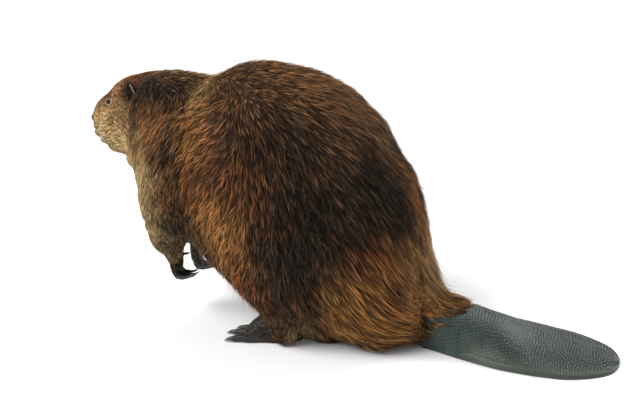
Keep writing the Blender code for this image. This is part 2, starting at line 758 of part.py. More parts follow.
def finish_head(head_node):
    """Adds lids and lips to the head, carves the mouth and the seats, and makes eyes and ears."""
    bm = bmesh.new()
    bm.from_mesh(head_node.data)
    tree = BVHTree.FromBMesh(bm)
    bm.free()
    forward, sideways = head_axes()
    path = mouth_path(tree)
    lip = [place - normal * 0.0012 + Vector((0, 0, 0.0036)) for place, normal in path]
    chin = [place - normal * 0.0016 - Vector((0, 0, 0.0034)) for place, normal in path[3:-3]]
    groove = [place + normal * 0.0003 for place, normal in path]
    raised = []
    taper = [0.0004] + [0.0014] * (len(groove) - 2) + [0.0004]
    carved = [piece("groove", tube, groove, taper, 6, 1.0, forward)]
    taper = [0.0006] + [0.0028] * (len(lip) - 2) + [0.0006]
    raised.append(piece("lip", tube, lip, taper, 6, 1.0, forward))
    taper = [0.0006] + [0.0024] * (len(chin) - 2) + [0.0006]
    raised.append(piece("lip", tube, chin, taper, 6, 1.0, forward))
    made = {}
    for side, word in ((-1, "left"), (1, "right")):
        eye, normal = eye_seat(tree, side)
        around = normal.orthogonal().normalized()
        beside = normal.cross(around)
        r = EYE["radius"]
        raised.append(piece("lids", lid_ring, eye + normal * (r * 0.36), around, beside, r * 0.98, 0.0017))
        made["eye_" + word] = piece("eye_" + word, ellipsoid, eye, (r, r, r), None, 10)
        carved.append(piece("seat", ellipsoid, eye, (r + GAP, r + GAP, r + GAP), None, 10))
        seat = ear_seat(tree, side)
        ear = piece("ear_" + word, ear_form, seat, EAR["radii"])
        boolean(ear, "DIFFERENCE", [piece("cup", ear_form, seat, EAR["cup"], EAR["radii"][0] * 0.75)])
        made["ear_" + word] = ear
        carved.append(piece("seat", ear_form, seat, [r + GAP for r in EAR["radii"]]))
    carved.append(piece("seat", nose_form, GAP))
    boolean(head_node, "UNION", raised)
    boolean(head_node, "DIFFERENCE", carved)
    return made


def lid_ring(bm, centre, around, beside, major, minor):
    """A thick ring round the eye."""
    normal = around.cross(beside)
    rings = []
    for k in range(14):
        turn = math.tau * k / 14
        out = around * math.cos(turn) + beside * math.sin(turn)
        rings.append(section(centre + out * major, out, normal, minor, minor, 6))
    made = [[bm.verts.new(p) for p in ring] for ring in rings]
    for k, ring in enumerate(made):
        following = made[(k + 1) % len(made)]
        for j in range(6):
            after = (j + 1) % 6
            bm.faces.new((ring[j], ring[after], following[after], following[j]))


def nose_form(bm, grow=0.0):
    ahead, side, up = NOSE_PAD["radii"]
    radii = (ahead + grow, side + grow, up + grow)
    ellipsoid(bm, on_head(0.003, 0, -0.001), radii, Matrix.Rotation(-HEAD_YAW, 4, "Z"), 14)


def nose():
    """The bare nose pad, with its two nostrils."""
    pad = piece("nose", nose_form)
    pits = []
    for side in (-1, 1):
        r = NOSE_PAD["nostril"]
        at = on_head(-0.0015, side * 0.0062, -0.002)
        turn = Matrix.Rotation(-HEAD_YAW, 4, "Z")
        pits.append(piece("pit", ellipsoid, at, (r * 1.6, r * 0.75, r), turn, 8))
    return boolean(pad, "DIFFERENCE", pits)


def paint(obj, colour, roughness):
    material = bpy.data.materials.new(obj.name)
    material.use_nodes = True
    shader = material.node_tree.nodes["Principled BSDF"]
    shader.inputs["Base Color"].default_value = (*colour, 1)
    shader.inputs["Roughness"].default_value = roughness
    obj.data.materials.clear()
    obj.data.materials.append(material)


def settle(nodes):
    """Moves everything so that the middle of the footprint is at the origin, and shades it smooth."""
    corners = [v.co for obj in nodes for v in obj.data.vertices]
    low = Vector((min(c[k] for c in corners) for k in range(3)))
    high = Vector((max(c[k] for c in corners) for k in range(3)))
    shift = Matrix.Translation((-(low.x + high.x) / 2, -(low.y + high.y) / 2, -low.z))
    for obj in nodes:
        obj.data.transform(shift)
        bm = bmesh.new()
        bm.from_mesh(obj.data)
        bmesh.ops.triangulate(bm, faces=bm.faces)
        bm.to_mesh(obj.data)
        bm.free()
        obj.data.shade_smooth()
        obj.data.set_sharp_from_angle(angle=math.radians(40))


def main():
    clear_scene()
    nodes = {}
    coarse = draw_in(body_core("tail_root", BODY_VOXEL, 20), COAT)
    locks = coat_locks(coarse)
    thin_out(coarse, BODY_TRIANGLES)
    boolean(coarse, "UNION", locks)
    boolean(coarse, "INTERSECT", [half_space("floor", Vector((0, 0, 0.001)), Vector((0, 0, 1)))])
    fine = thin_out(body_core("head", HEAD_VOXEL, 12), HEAD_TRIANGLES)

    parting, ahead = head_cut()
    boolean(fine, "INTERSECT", [half_space("cut", parting, ahead)])
    nodes["head"] = fine
    nodes["nose"] = nose()
    nodes.update(finish_head(fine))

    for side, word in ((-1, "left"), (1, "right")):
        leg = take_limb(coarse, "hind_leg_" + word, leg_region, side)
        for flesh in (leg, coarse):
            boolean(flesh, "DIFFERENCE", [hind_foot("foot", side, GAP)])
        nodes["hind_leg_" + word] = leg
        nodes["hind_foot_" + word] = hind_foot("hind_foot_" + word, side)
        arm = take_limb(coarse, "foreleg_" + word, arm_region, side)
        point, normal = WRIST_CUT
        point = point - Vector((0, 0, FAR_ARM_DROP if side > 0 else 0))
        boolean(arm, "INTERSECT", [half_space("cut", point, normal)])
        nodes["foreleg_" + word] = arm
        paw = forepaw("forepaw_" + word, side)
        boolean(paw, "INTERSECT", [half_space("cut", point, -normal)])
        nodes["forepaw_" + word] = paw

    boolean(coarse, "INTERSECT", [half_space("cut", parting, -ahead)])
    nodes["neck"] = part_along(coarse, NECK_CUT, "neck")
    nodes["torso"] = part_along(coarse, WAIST_CUT, "torso")
    nodes["rump"] = part_along(coarse, ROOT_CUT, "rump")
    nodes["tail"] = tail_blade("tail")
    boolean(nodes["tail"], "UNION", [copy_of(coarse, "thick of the tail")])
    point, normal = LEATHER_CUT
    boolean(nodes["tail"], "INTERSECT", [half_space("cut", point, -normal)])
    boolean(coarse, "INTERSECT", [half_space("cut", point, normal)])
    nodes["tail_root"] = coarse

    for name, obj in nodes.items():
        stem = name.replace("_left", "").replace("_right", "")
        colour, roughness = FINISH[stem]
        paint(obj, colour, roughness)
    settle(list(nodes.values()))


main()
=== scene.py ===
"""Finishes the beaver: a furred skin under a coat of tufts, a scaly tail, bare hands and feet, and the face.

The animal faces -X, its left side is -Y and the floor is at Z = 0. Sizes are in metres.
"""

import math

import bpy
import numpy as np
from bpy.props import FloatProperty, FloatVectorProperty, IntProperty, PointerProperty
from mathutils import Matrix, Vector
from mathutils.bvhtree import BVHTree
from mathutils.kdtree import KDTree


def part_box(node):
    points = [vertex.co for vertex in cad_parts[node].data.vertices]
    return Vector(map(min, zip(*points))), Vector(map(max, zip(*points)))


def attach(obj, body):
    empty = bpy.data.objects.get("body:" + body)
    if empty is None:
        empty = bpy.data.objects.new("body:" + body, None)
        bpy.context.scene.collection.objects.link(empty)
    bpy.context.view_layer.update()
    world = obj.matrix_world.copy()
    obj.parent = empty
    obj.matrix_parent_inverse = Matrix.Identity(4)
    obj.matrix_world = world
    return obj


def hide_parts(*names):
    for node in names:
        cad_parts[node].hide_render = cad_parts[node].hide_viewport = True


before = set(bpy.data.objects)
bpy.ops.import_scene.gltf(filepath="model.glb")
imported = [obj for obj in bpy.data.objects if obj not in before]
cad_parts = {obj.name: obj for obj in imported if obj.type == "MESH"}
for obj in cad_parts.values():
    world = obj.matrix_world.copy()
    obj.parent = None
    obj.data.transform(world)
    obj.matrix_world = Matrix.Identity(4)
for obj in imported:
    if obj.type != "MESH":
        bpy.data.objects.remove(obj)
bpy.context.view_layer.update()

bl_info = {
    "name": "Life-Size Beaver",
    "version": (1, 0, 0),
    "blender": (4, 5, 0),
    "location": "3D View > Sidebar > Beaver",
    "description": "Dresses the beaver's solids in skin, coat, scales, claws and eyes",
    "category": "Object",
}

BODY = "root"
SIDES = (("left", -1), ("right", 1))
FLESH = ("head", "neck", "torso", "rump", "tail_root", "foreleg_left", "foreleg_right",
         "hind_leg_left", "hind_leg_right")

# The head's own axes: the nose, and how far the head turns to its right
HEAD_YAW = math.radians(9)
FORWARD = np.array((-math.cos(HEAD_YAW), math.sin(HEAD_YAW), 0.0))
LEFTWARD = np.array((-math.sin(HEAD_YAW), -math.cos(HEAD_YAW), 0.0))
UP = np.array((0.0, 0.0, 1.0))
NOSE = np.array((-0.4237, 0.055, 0.281))
EYE_RADIUS = 0.0065
EAR_HALF = (0.012, 0.018)

# The lowest skin and fur over the floor, how much lower the right hand hangs, and the most tufts in a piece
FLOOR_GAP = 0.0006
HAND_DROP = 0.016
MOST_TUFTS = 19000

# Lie of the coat: x, distance from the midline and z of a place in millimetres, and the way that the hair
# runs there in x and z, in hundredths
LIE = np.array((
    (-305, 20, 368, 100, -10), (-219, 13, 376, 100, -15), (-278, 46, 347, 20, -100),
    (-253, 67, 316, -25, -100), (-335, 14, 270, 45, -90), (-191, 30, 370, 15, -100),
    (-169, 92, 338, -60, -80), (-172, 107, 283, -60, -80), (-138, 112, 303, -60, -80),
    (-149, 127, 255, -45, -90), (-136, 125, 211, -35, -95), (-101, 127, 124, -15, -100),
    (-225, 95, 289, -20, -100), (-240, 105, 214, 0, -100), (-227, 91, 155, 10, -100),
    (-157, 27, 384, 80, -60), (-100, 14, 403, 80, -60), (-20, 44, 383, 75, -65), (38, 28, 339, 70, -70),
    (-25, 76, 360, 75, -70), (-87, 107, 335, 55, -80), (-80, 128, 285, 25, -95), (-9, 127, 292, 50, -85),
    (50, 90, 286, 60, -80), (-6, 137, 210, 35, -100), (60, 119, 196, 55, -85), (111, 45, 234, 50, -90),
    (110, 92, 177, 55, -85), (147, 6, 125, 60, -80), (88, 112, 122, 70, -75), (45, 112, 84, 60, -80),
    (98, 90, 34, 85, -30), (183, 39, 49, 100, -30), (160, 42, 68, 100, -40), (-54, 146, 162, 15, -100),
    (-50, 123, 58, 30, -100), (-270, 10, 200, 5, -100),
)) / (1000, 1000, 1000, 100, 100)

# Markings: a place (x, distance from the midline, z) and its reach along the same, in millimetres, a colour
# and how strong it is, in hundredths; a few of them are painted light and shade, as marked
MARKINGS = (
    (-110, 60, 375, 60, 70, 40, "hazel", 35), (-75, 20, 395, 50, 45, 30, "hazel", 85),
    (-10, 40, 365, 55, 55, 34, "hazel", 85), (40, 30, 325, 35, 45, 40, "hazel", 45),
    (-80, 128, 290, 45, 60, 40, "umber", 80), (-40, 110, 330, 50, 50, 30, "umber", 60),
    (0, 125, 240, 70, 70, 65, "umber", 98), (-35, 130, 190, 60, 60, 50, "umber", 75),
    (72, 80, 275, 40, 65, 50, "umber", 88), (105, 55, 238, 35, 45, 55, "umber", 98),
    (60, 119, 200, 40, 60, 30, "umber", 85), (-105, 118, 250, 50, 70, 60, "rufous", 35),
    (-160, 110, 268, 30, 70, 50, "rufous", 80), (-152, 112, 266, 22, 60, 26, "umber", 40),
    (-136, 125, 205, 34, 80, 34, "gold", 85), (-120, 125, 160, 30, 80, 36, "gold", 90),
    (-175, 98, 315, 28, 60, 32, "gold", 75), (-187, 50, 354, 22, 90, 34, "gold", 98),
    # The pale spot here, at (-194, 26, 367), is painted light that lifts the shade in the crease at the top
    # of the shoulder band
    (-193, 30, 366, 18, 50, 20, "tan", 80), (-194, 26, 367, 14, 40, 14, "pale", 45),
    (-155, 120, 285, 18, 40, 24, "umber", 25), (-112, 130, 195, 24, 40, 26, "gold", 45),
    (-98, 125, 115, 34, 80, 40, "rufous", 80), (-55, 145, 140, 40, 60, 60, "umber", 45),
    (0, 125, 130, 22, 60, 60, "umber", 95), (8, 110, 60, 16, 60, 45, "umber", 97),
    (60, 110, 100, 35, 80, 40, "gold", 95), (85, 100, 50, 62, 80, 34, "gold", 97),
    (90, 105, 30, 40, 50, 18, "tan", 30), (105, 90, 170, 40, 60, 30, "rufous", 70),
    # The pale here, at (150, 0, 150) on the rear edge, is painted rim light from behind
    (120, 75, 105, 22, 60, 30, "rufous", 60), (150, 0, 150, 21, 36, 70, "pale", 80),
    (98, 0, 262, 20, 24, 50, "gold", 30), (128, 0, 225, 24, 26, 50, "rufous", 75),
    (112, 62, 206, 24, 40, 26, "umber", 85), (102, 40, 252, 18, 40, 20, "umber", 40),
    (134, 40, 150, 20, 40, 30, "tan", 35), (160, 40, 75, 32, 70, 34, "gold", 90),
    (202, 20, 45, 14, 60, 30, "umber", 20), (110, 100, 6, 50, 90, 12, "umber", 85),
    # The first place here, umber at the floor under the haunch, is painted shadow: dark fur standing in for
    # the shade under the belly
    (20, 80, 4, 50, 45, 15, "umber", 98), (208, 12, 50, 14, 40, 30, "umber", 45),
    (-30, 140, 155, 30, 50, 30, "umber", 30), (-30, 85, 352, 35, 40, 20, "umber", 28),
    (138, 36, 150, 18, 40, 28, "gold", 35), (-50, 120, 50, 45, 50, 40, "umber", 35),
    (-24, 98, 16, 14, 34, 20, "pale", 95), (-222, 90, 300, 22, 50, 34, "umber", 92),
    (-217, 100, 205, 18, 50, 40, "umber", 85), (-222, 90, 175, 20, 50, 45, "umber", 90),
    (-236, 85, 225, 24, 50, 30, "rufous", 60), (-270, 80, 200, 28, 80, 82, "pale", 98),
    (-290, 0, 225, 34, 80, 80, "pale", 90), (-262, 60, 312, 36, 60, 45, "rufous", 90),
    (-262, 70, 318, 22, 30, 25, "gold", 35), (-280, 72, 292, 14, 30, 30, "tan", 55),
    (-325, 10, 245, 44, 70, 34, "pale", 95), (-345, 40, 290, 45, 70, 40, "tan", 90),
    (-336, 48, 300, 14, 30, 20, "chocolate", 60), (-340, 40, 262, 30, 50, 22, "pale", 90),
    (-350, 20, 350, 36, 60, 18, "rufous", 90), (-364, 20, 344, 14, 40, 12, "tan", 55),
    (-400, 30, 285, 30, 60, 28, "ash", 95), (-399, 29, 306, 8, 16, 18, "rufous", 80),
    (-364, 41, 303, 7, 16, 14, "chocolate", 60), (-388, 36, 262, 16, 40, 14, "frost", 65),
    (-335, 26, 343, 16, 20, 16, "umber", 99), (-298, 63, 332, 8, 18, 18, "umber", 98),
    (-318, 60, 290, 12, 16, 18, "chocolate", 55), (-296, 43, 358, 16, 22, 14, "umber", 90),
    (-289, 52, 351, 8, 12, 9, "chocolate", 60), (-268, 30, 360, 52, 45, 14, "umber", 88),
    (-245, 0, 386, 60, 24, 10, "tan", 60),
)

# Where the coat stands fuller than the solids: a place and its reach as above, and how far, in tenths of a
# millimetre
FULLNESS = (
    (-288, 30, 224, 34, 55, 36, 150), (-262, 95, 218, 20, 36, 34, 40), (-320, 50, 246, 16, 32, 12, 80),
    (-288, 72, 214, 22, 30, 14, 45), (-284, 78, 160, 18, 30, 14, -50), (-259, 62, 120, 16, 30, 16, 50),
    (-250, 0, 376, 32, 50, 22, 125), (-262, 60, 128, 18, 50, 32, 50), (14, 50, 350, 28, 60, 24, 55),
    (52, 50, 316, 22, 70, 24, 85), (100, 50, 244, 16, 60, 18, 40), (-36, 30, 388, 24, 60, 20, -12),
    (-142, 0, 396, 50, 70, 28, 85), (118, 40, 205, 30, 80, 80, 34), (42, 104, 42, 28, 36, 30, 50),
    (158, 66, 32, 28, 28, 32, -170), (204, 18, 54, 22, 36, 24, 130), (148, 30, 100, 16, 40, 20, 40),
)

# Forms of the face, in tenths of a millimetre: how far out; centre and reach behind the nose; the same aside
# or in height; and the field of sculpt_face that limits it
FACE_FORMS = (
    (-52, 400, 120, "aside", 0, 220, "upper"), (-20, 280, 160, "aside", 240, 100, "all"),
    (26, 610, 100, "aside", 220, 120, "brow"), (64, 140, 120, "height", -270, 90, "all"),
    (18, 80, 120, "height", -180, 80, "all"), (-50, 300, 140, "height", -390, 60, "all"),
    (38, 190, 90, "height", -340, 45, "all"), (-60, 260, 120, "height", -435, 50, "all"),
    (24, 730, 90, "aside", 0, 360, "upper"), (-20, 560, 60, "aside", 0, 340, "upper"),
    (30, 370, 120, "height", -200, 45, "side"), (-52, 460, 130, "height", -285, 45, "side"),
    (16, 660, 200, "height", -40, 220, "cheek"),
)

# The line of the mouth and cheek fold, in tenths of a millimetre behind the nose and above it
MOUTH = ((0, -155), (100, -135), (220, -92), (310, -70), (365, -110), (400, -190), (395, -270))

# A tuft: a ring of corners 0 to 2 at its root, a ring of 3 to 5, and its tip 6
TUFT_FACES = np.array((
    (2, 1, 0), (0, 1, 4), (0, 4, 3), (1, 2, 5), (1, 5, 4), (2, 0, 3), (2, 3, 5),
    (3, 4, 6), (4, 5, 6), (5, 3, 6),
))

# The tail's blade: x, middle y, half width and thickness; and the trunk's end: x, top, half width
BLADE = np.array((
    (139, 15, 47, 36), (169, 15, 56, 38), (197, 14, 64, 37), (227, 13, 71, 32), (257, 11, 76, 28),
    (287, 9, 76, 24), (317, 7, 75, 20), (347, 6, 71, 16), (372, 6, 64, 14), (392, 6, 55, 12),
    (409, 6, 44, 11), (421, 6, 31, 9), (429.5, 6, 0, 6),
)) / 1000
TRUNK_END = np.array((
    (130, 82, 62), (175, 66, 58), (207, 52, 58), (241, 44, 64), (275, 36, 72), (310, 27, 78),
)) / 1000


def metres(name, description, default):
    return FloatProperty(name=name, description=description, default=default, unit="LENGTH")


def number(name, description, default):
    return FloatProperty(name=name, description=description, default=default)


def srgb(*levels):
    """A colour as a screen shows it, from 0 to 255, in the shader's linear values."""
    scaled = (level / 255 for level in levels)
    return tuple(v / 12.92 if v <= 0.04045 else ((v + 0.055) / 1.055) ** 2.4 for v in scaled)


def colour(name, description, *levels):
    default = srgb(*levels)
    return FloatVectorProperty(name=name, description=description, subtype="COLOR", size=3, default=default)


class BeaverCoat(bpy.types.PropertyGroup):
    length: metres("Length", "Guard hair on the body", 0.0225)
    width: metres("Width", "Widest part of a tuft", 0.00118)
    lift: metres("Lift", "Height of the tips", 0.0094)
    depth: metres("Depth", "Skin under the outline", 0.0024)
    clump: number("Clumping", "How far tufts lean together", 0.62)
    tufts: IntProperty(name="Tufts", description="Tufts on the whole animal", default=134000)
    thinned: number("Thinned", "Share of the skin's mesh that stays", 0.55)
    seed: IntProperty(name="Seed", description="Seed of the draws", default=11)


class BeaverColours(bpy.types.PropertyGroup):
    chocolate: colour("Chocolate", "Hump and haunch", 92, 64, 42)
    hazel: colour("Hazel", "Top of the hump and back", 146, 104, 68)
    umber: colour("Umber", "Darkest fur, on hip and arm", 33, 24, 17)
    gold: colour("Gold", "Shoulder band, flank and rump", 202, 141, 76)
    rufous: colour("Rufous", "Forehead and neck", 160, 96, 50)
    tan: colour("Tan", "Cheek and nape", 198, 156, 102)
    # The pale on the rear edge is painted rim light from behind
    pale: colour("Pale", "Throat, chest and rear edge", 238, 204, 146)
    ash: colour("Ash", "Muzzle", 226, 200, 138)
    frost: colour("Frost", "Lower lip and chin", 218, 208, 184)
    leather: colour("Leather", "Bare hands and feet", 34, 31, 28)
    lid: colour("Lid", "Bare rim round the eyes", 188, 166, 134)
    horn: colour("Horn", "Claws", 104, 92, 78)
    tail: colour("Tail", "Scales of the tail", 44, 60, 54)
    tail_groove: colour("Grooves", "Between the scales", 15, 19, 18)


class BeaverTail(bpy.types.PropertyGroup):
    scale_length: metres("Scale length", "Along the tail", 0.0042)
    scale_width: metres("Scale width", "Across the tail", 0.0054)
    relief: metres("Relief", "Height of a scale", 0.0009)


class BeaverStage(bpy.types.PropertyGroup):
    world: number("World", "Brightness of the white room", 0.5)
    key: number("Key", "Soft light from the upper left", 2.6)
    rim: number("Rim", "Soft light from behind", 2.2)
    fill: number("Fill", "Low, soft light from the left", 2.3)
    azimuth: number("Azimuth", "Camera round the animal, in degrees", 18.0)
    elevation: number("Elevation", "Camera above the horizon, in degrees", 21.0)
    distance: metres("Distance", "Camera to its target", 1.4)
    lens: number("Lens", "Focal length in millimetres", 52.4)
    target: FloatVectorProperty(name="Target", description="Aim of the camera", unit="LENGTH",
                                default=(-0.0228, 0.0037, 0.192))


def activate(obj):
    bpy.ops.object.select_all(action="DESELECT")
    obj.select_set(True)
    bpy.context.view_layer.objects.active = obj


def apply_modifier(obj, kind, **settings):
    activate(obj)
    modifier = obj.modifiers.new(kind, kind)
    for key, value in settings.items():
        setattr(modifier, key, value)
    bpy.ops.object.modifier_apply(modifier=modifier.name)


def read(items, key, columns, kind=float):
    """One value of every item of a mesh, a row for each."""
    out = np.empty(len(items) * columns, kind)
    items.foreach_get(key, out)
    return out.reshape(-1, columns)


def coords(obj):
    return read(obj.data.vertices, "co", 3)


def vertex_normals(obj):
    return read(obj.data.vertex_normals, "vector", 3)


def set_coords(obj, points):
    obj.data.vertices.foreach_set("co", np.ascontiguousarray(points, dtype=np.float32).ravel())
    obj.data.update()


def triangles(obj):
    """Corners of each triangle as vertices and as loops."""
    obj.data.calc_loop_triangles()
    return [read(obj.data.loop_triangles, key, 3, np.int32) for key in ("vertices", "loops")]


def ramp(value, start, end):
    """0 at start, 1 at end, and smooth between them."""
    t = np.clip((value - start) / (end - start), 0.0, 1.0)
    return t * t * (3 - 2 * t)


def bump(value, centre, reach):
    """1 at the centre, falling off smoothly on both sides of it."""
    return np.exp(-((value - centre) / reach) ** 2)


def mix(base, other, share):
    """Base where the share is 0, and the other where it is 1."""
    share = share[..., None]
    return base * (1 - share) + other * share


def far(vectors):
    return np.linalg.norm(vectors, axis=-1)


def unit(vectors):
    return vectors / np.maximum(np.linalg.norm(vectors, axis=-1, keepdims=True), 1e-9)


def ripple(points, scale, seed=0):
    """Smooth noise from -1 to 1, of waves in several directions."""
    draw = np.random.default_rng(seed)
    total = np.zeros(len(points))
    for octave in range(3):
        for _ in range(5):
            way = unit(draw.normal(size=3)) * (math.tau / scale * 2 ** octave * draw.uniform(0.7, 1.3))
            total += np.sin(points @ way + draw.uniform(0, math.tau)) / 2 ** octave
    return np.clip(total / 4.2, -1, 1)


def relax(obj, share, rounds):
    """Evens the surface out, as far as share says at each point."""
    points = coords(obj)
    count = len(points)
    here, there = read(obj.data.edges, "vertices", 2, np.int32).T
    degree = np.maximum(np.bincount(here, minlength=count) + np.bincount(there, minlength=count), 1)
    for _ in range(rounds):
        for axis in range(3):
            line = points[:, axis]
            total = np.bincount(here, line[there], count) + np.bincount(there, line[here], count)
            points[:, axis] = line + (total / degree - line) * 0.5 * share
    set_coords(obj, points)


def thin_out(obj, share):
    """Thins the mesh under the body's coat, once the tufts stand on it; the face keeps its own."""
    points = coords(obj)
    hidden = (head_share(points) < 0.5) & (points[:, 2] > 0.012)
    obj.vertex_groups.new(name="covered").add(np.flatnonzero(hidden).tolist(), 1.0, "REPLACE")
    apply_modifier(obj, "DECIMATE", ratio=share, vertex_group="covered", vertex_group_factor=1.0)
    obj.vertex_groups.clear()


def add_object(name, data):
    obj = bpy.data.objects.new(name, data)
    bpy.context.scene.collection.objects.link(obj)
    return obj


def joined(name, objects):
    activate(objects[0])
    for obj in objects:
        obj.select_set(True)
    if len(objects) > 1:
        bpy.ops.object.join()
    objects[0].name = objects[0].data.name = name
    return objects[0]


def merged_copy(name, nodes, swell=0.0):
    """One object of the nodes' surfaces, welded, and swollen so that neighbours overlap."""
    obj = joined(name, [add_object(node + "_copy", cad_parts[node].data.copy()) for node in nodes])
    obj.data.materials.clear()
    bpy.ops.object.mode_set(mode="EDIT")
    bpy.ops.mesh.select_all(action="SELECT")
    bpy.ops.mesh.remove_doubles(threshold=0.00002)
    bpy.ops.mesh.customdata_custom_splitnormals_clear()
    if swell:
        bpy.ops.transform.shrink_fatten(value=swell)
    bpy.ops.object.mode_set(mode="OBJECT")
    return obj


def subdivide_where(obj, chosen):
    """Subdivides the faces whose middles are chosen."""
    picked = chosen(read(obj.data.polygons, "center", 3))
    activate(obj)
    bpy.ops.object.mode_set(mode="EDIT")
    bpy.ops.mesh.select_mode(type="FACE")
    bpy.ops.mesh.select_all(action="DESELECT")
    bpy.ops.object.mode_set(mode="OBJECT")
    obj.data.polygons.foreach_set("select", picked)
    bpy.ops.object.mode_set(mode="EDIT")
    bpy.ops.mesh.subdivide(number_cuts=1)
    bpy.ops.object.mode_set(mode="OBJECT")


def smart_unwrap(obj):
    activate(obj)
    bpy.ops.object.mode_set(mode="EDIT")
    bpy.ops.mesh.select_all(action="SELECT")
    bpy.ops.uv.smart_project(angle_limit=1.15, island_margin=0.002)
    bpy.ops.object.mode_set(mode="OBJECT")
    obj.data.uv_layers[0].name = "OFBake"


def behind_nose(points):
    """How far points lie behind the nose, along the head's axis."""
    return (NOSE - points) @ FORWARD


def head_share(points):
    """1 on the head, 0 on the body, and between them on the neck's first 4 cm."""
    return ramp(behind_nose(points), 0.165, 0.105) * ramp(points[:, 2], 0.185, 0.215)


def arm_share(points):
    """1 on the forearms, 0 on the body."""
    return ramp(points[:, 0], -0.195, -0.215) * ramp(points[:, 2], 0.285, 0.235)


def shank_share(points):
    """1 on the lower hind legs, 0 on the body."""
    return ramp(points[:, 2], 0.08, 0.045) * ramp(points[:, 0], 0.015, -0.015)


def heel_share(points):
    """1 at the back of the heels, which are drawn in, and 0 on the rump behind them."""
    x, y, z = points.T
    return ramp(z, 0.075, 0.04) * ramp(x, 0.04, 0.005) * ramp(np.abs(y), 0.04, 0.055)


def shadow_skirt_share(points):
    """1 under the haunch behind the heel, where fur is hung to the floor and painted umber to stand in for
    the shadow under the belly, and less towards the tail.
    """
    x, y, z = points[:, 0], np.abs(points[:, 1]), points[:, 2]
    under = ramp(z, 0.055, 0.022) * ramp(y, 0.03, 0.05) * ramp(y, 0.092, 0.068)
    return under * ramp(x, -0.036, -0.022) * np.clip(1 - x / 0.04, 0, 1)


def past_fur(x, y):
    """How far behind the line where the fur ends on the tail's root: a tongue along the middle."""
    off = np.abs(y - 0.03)
    return x - 0.219 + np.minimum(6.0 * off ** 2 + 75.0 * off ** 3, 0.068)


def box_middle(node):
    low, high = (np.array(corner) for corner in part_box(node))
    return (low + high) / 2


def eye_centre(word):
    return box_middle("eye_" + word) - FORWARD * 0.0026 + UP * 0.001


def eye_axes(side):
    """Out of the eye, along it towards the nose, and up."""
    out = unit(-side * LEFTWARD + 0.22 * FORWARD + 0.3 * UP)
    along = unit(FORWARD - out * (FORWARD @ out))
    above = np.cross(out, along)
    return out, along, above * np.sign(above[2])


def eye_oval(points, word, side):
    """1 on the edge of the lids, growing outwards; far from the eye it is 99."""
    out, along, above = eye_axes(side)
    rel = points - eye_centre(word)
    oval = np.hypot((rel @ along + 0.0022) / 0.0036, rel @ above / 0.0045)
    return np.where(rel @ out > -0.006, oval, 99.0)


def curve_points(points, count):
    """Points evenly along a smooth curve through the given ones."""
    points = np.array(points, float)
    t = np.linspace(0, len(points) - 1, count)
    low = np.minimum(t.astype(int), len(points) - 2)
    part = (t - low)[:, None]
    a, b = points[low], points[low + 1]
    slope_a = (b - points[np.maximum(low - 1, 0)]) / 2
    slope_b = (points[np.minimum(low + 2, len(points) - 1)] - a) / 2
    return (
        a * (2 * part**3 - 3 * part**2 + 1) + slope_a * (part**3 - 2 * part**2 + part)
        + b * (3 * part**2 - 2 * part**3) + slope_b * (part**3 - part**2)
    )


def near_mouth(points, reach, top=0.01):
    """Points near the line of the mouth and cheek fold, how far off they are, and how deep it is there."""
    behind, height = behind_nose(points), points[:, 2] - NOSE[2]
    near = np.flatnonzero((behind < reach) & (height < top))
    line = curve_points(np.array(MOUTH) / 10000, 80)
    apart = np.hypot(np.maximum(behind[near], 0)[:, None] - line[:, 0], height[near][:, None] - line[:, 1])
    deep = np.interp(apart.argmin(1) / 79, (0, 0.5, 0.62, 0.85, 1.0), (1.0, 1.0, 0.65, 0.45, 0.0))
    return near, apart.min(1), deep


def palette():
    colours = bpy.context.scene.beaver_colours
    return {name: np.array(getattr(colours, name)) for name in BeaverColours.__annotations__}


def folded(points):
    """Points with their distance from the midline, which bends with the head, in place of y."""
    x, y, z = points.T
    return np.column_stack((x, np.abs(y - (0.0005 + 0.05 * ramp(x, -0.24, -0.42))), z))


def away_from(place, row):
    """Squared distance from the place that a table's row gives, in shares of its reach."""
    row = np.array(row[:6]) / 1000
    return (((place - row[:3]) / row[3:]) ** 2).sum(1)


def fullness(points):
    """How far the coat stands out from the solids."""
    place = folded(points)
    return sum(row[6] / 10000 * np.exp(-away_from(place, row)) for row in FULLNESS)


def markings(points):
    """The coat's colour at each point, the same for skin and tufts; it holds painted shade along the mouth
    and in some markings, and painted light in others.
    """
    colours = palette()
    out = np.tile(colours["chocolate"], (len(points), 1))
    place = folded(points)
    uneven = 1 + 0.45 * ripple(points, 0.045, 3) + 0.3 * ripple(points, 0.014, 4)
    for row in MARKINGS:
        share = row[7] / 100 * np.exp(-(away_from(place, row) * uneven) ** 1.25 * 0.8)
        out = mix(out, colours[row[6]], share)
    speckle = (0.1 + 0.14 * head_share(points)) * ripple(points, 0.009, 6)
    out *= (1 + 0.22 * ripple(points, 0.02, 5) + speckle)[:, None]
    # Painted shade: darker along the line of the mouth and the cheek fold, most where the fold is deep
    near, apart, deep = near_mouth(points, 0.06)
    out[near] *= (1 - 0.75 * deep * bump(apart, 0, 0.002))[:, None]
    for word, side in SIDES:
        out = mix(out, colours["lid"], bump(eye_oval(points, word, side), 1.18, 0.2))
    return np.clip(out, 0.002, 0.9)


def laid(ways, normals):
    """Ways turned to run along the surface."""
    return unit(ways - normals * (ways * normals).sum(1)[:, None])


def lie_at(points, normals):
    """The way that the hair runs at each point, laid along the surface."""
    x, y, z = points.T
    place = np.column_stack((x, np.abs(y), z))
    nearness = 1 / (((place[:, None] - LIE[:, :3]) ** 2).sum(2) + 0.0004) ** 2
    way = unit(nearness @ unit(np.insert(LIE[:, 3:], 1, 0, axis=1)))
    back = unit(points - (NOSE + FORWARD * 0.02 - UP * 0.01))
    return laid(mix(way, back, ramp(behind_nose(points), 0.15, 0.1) * ramp(z, 0.2, 0.235)), normals)


def stubble(points):
    """1 on the front of the hump, where the hair is short and stands up."""
    return np.exp(-away_from(folded(points), (-130, 55, 362, 45, 60, 34)))


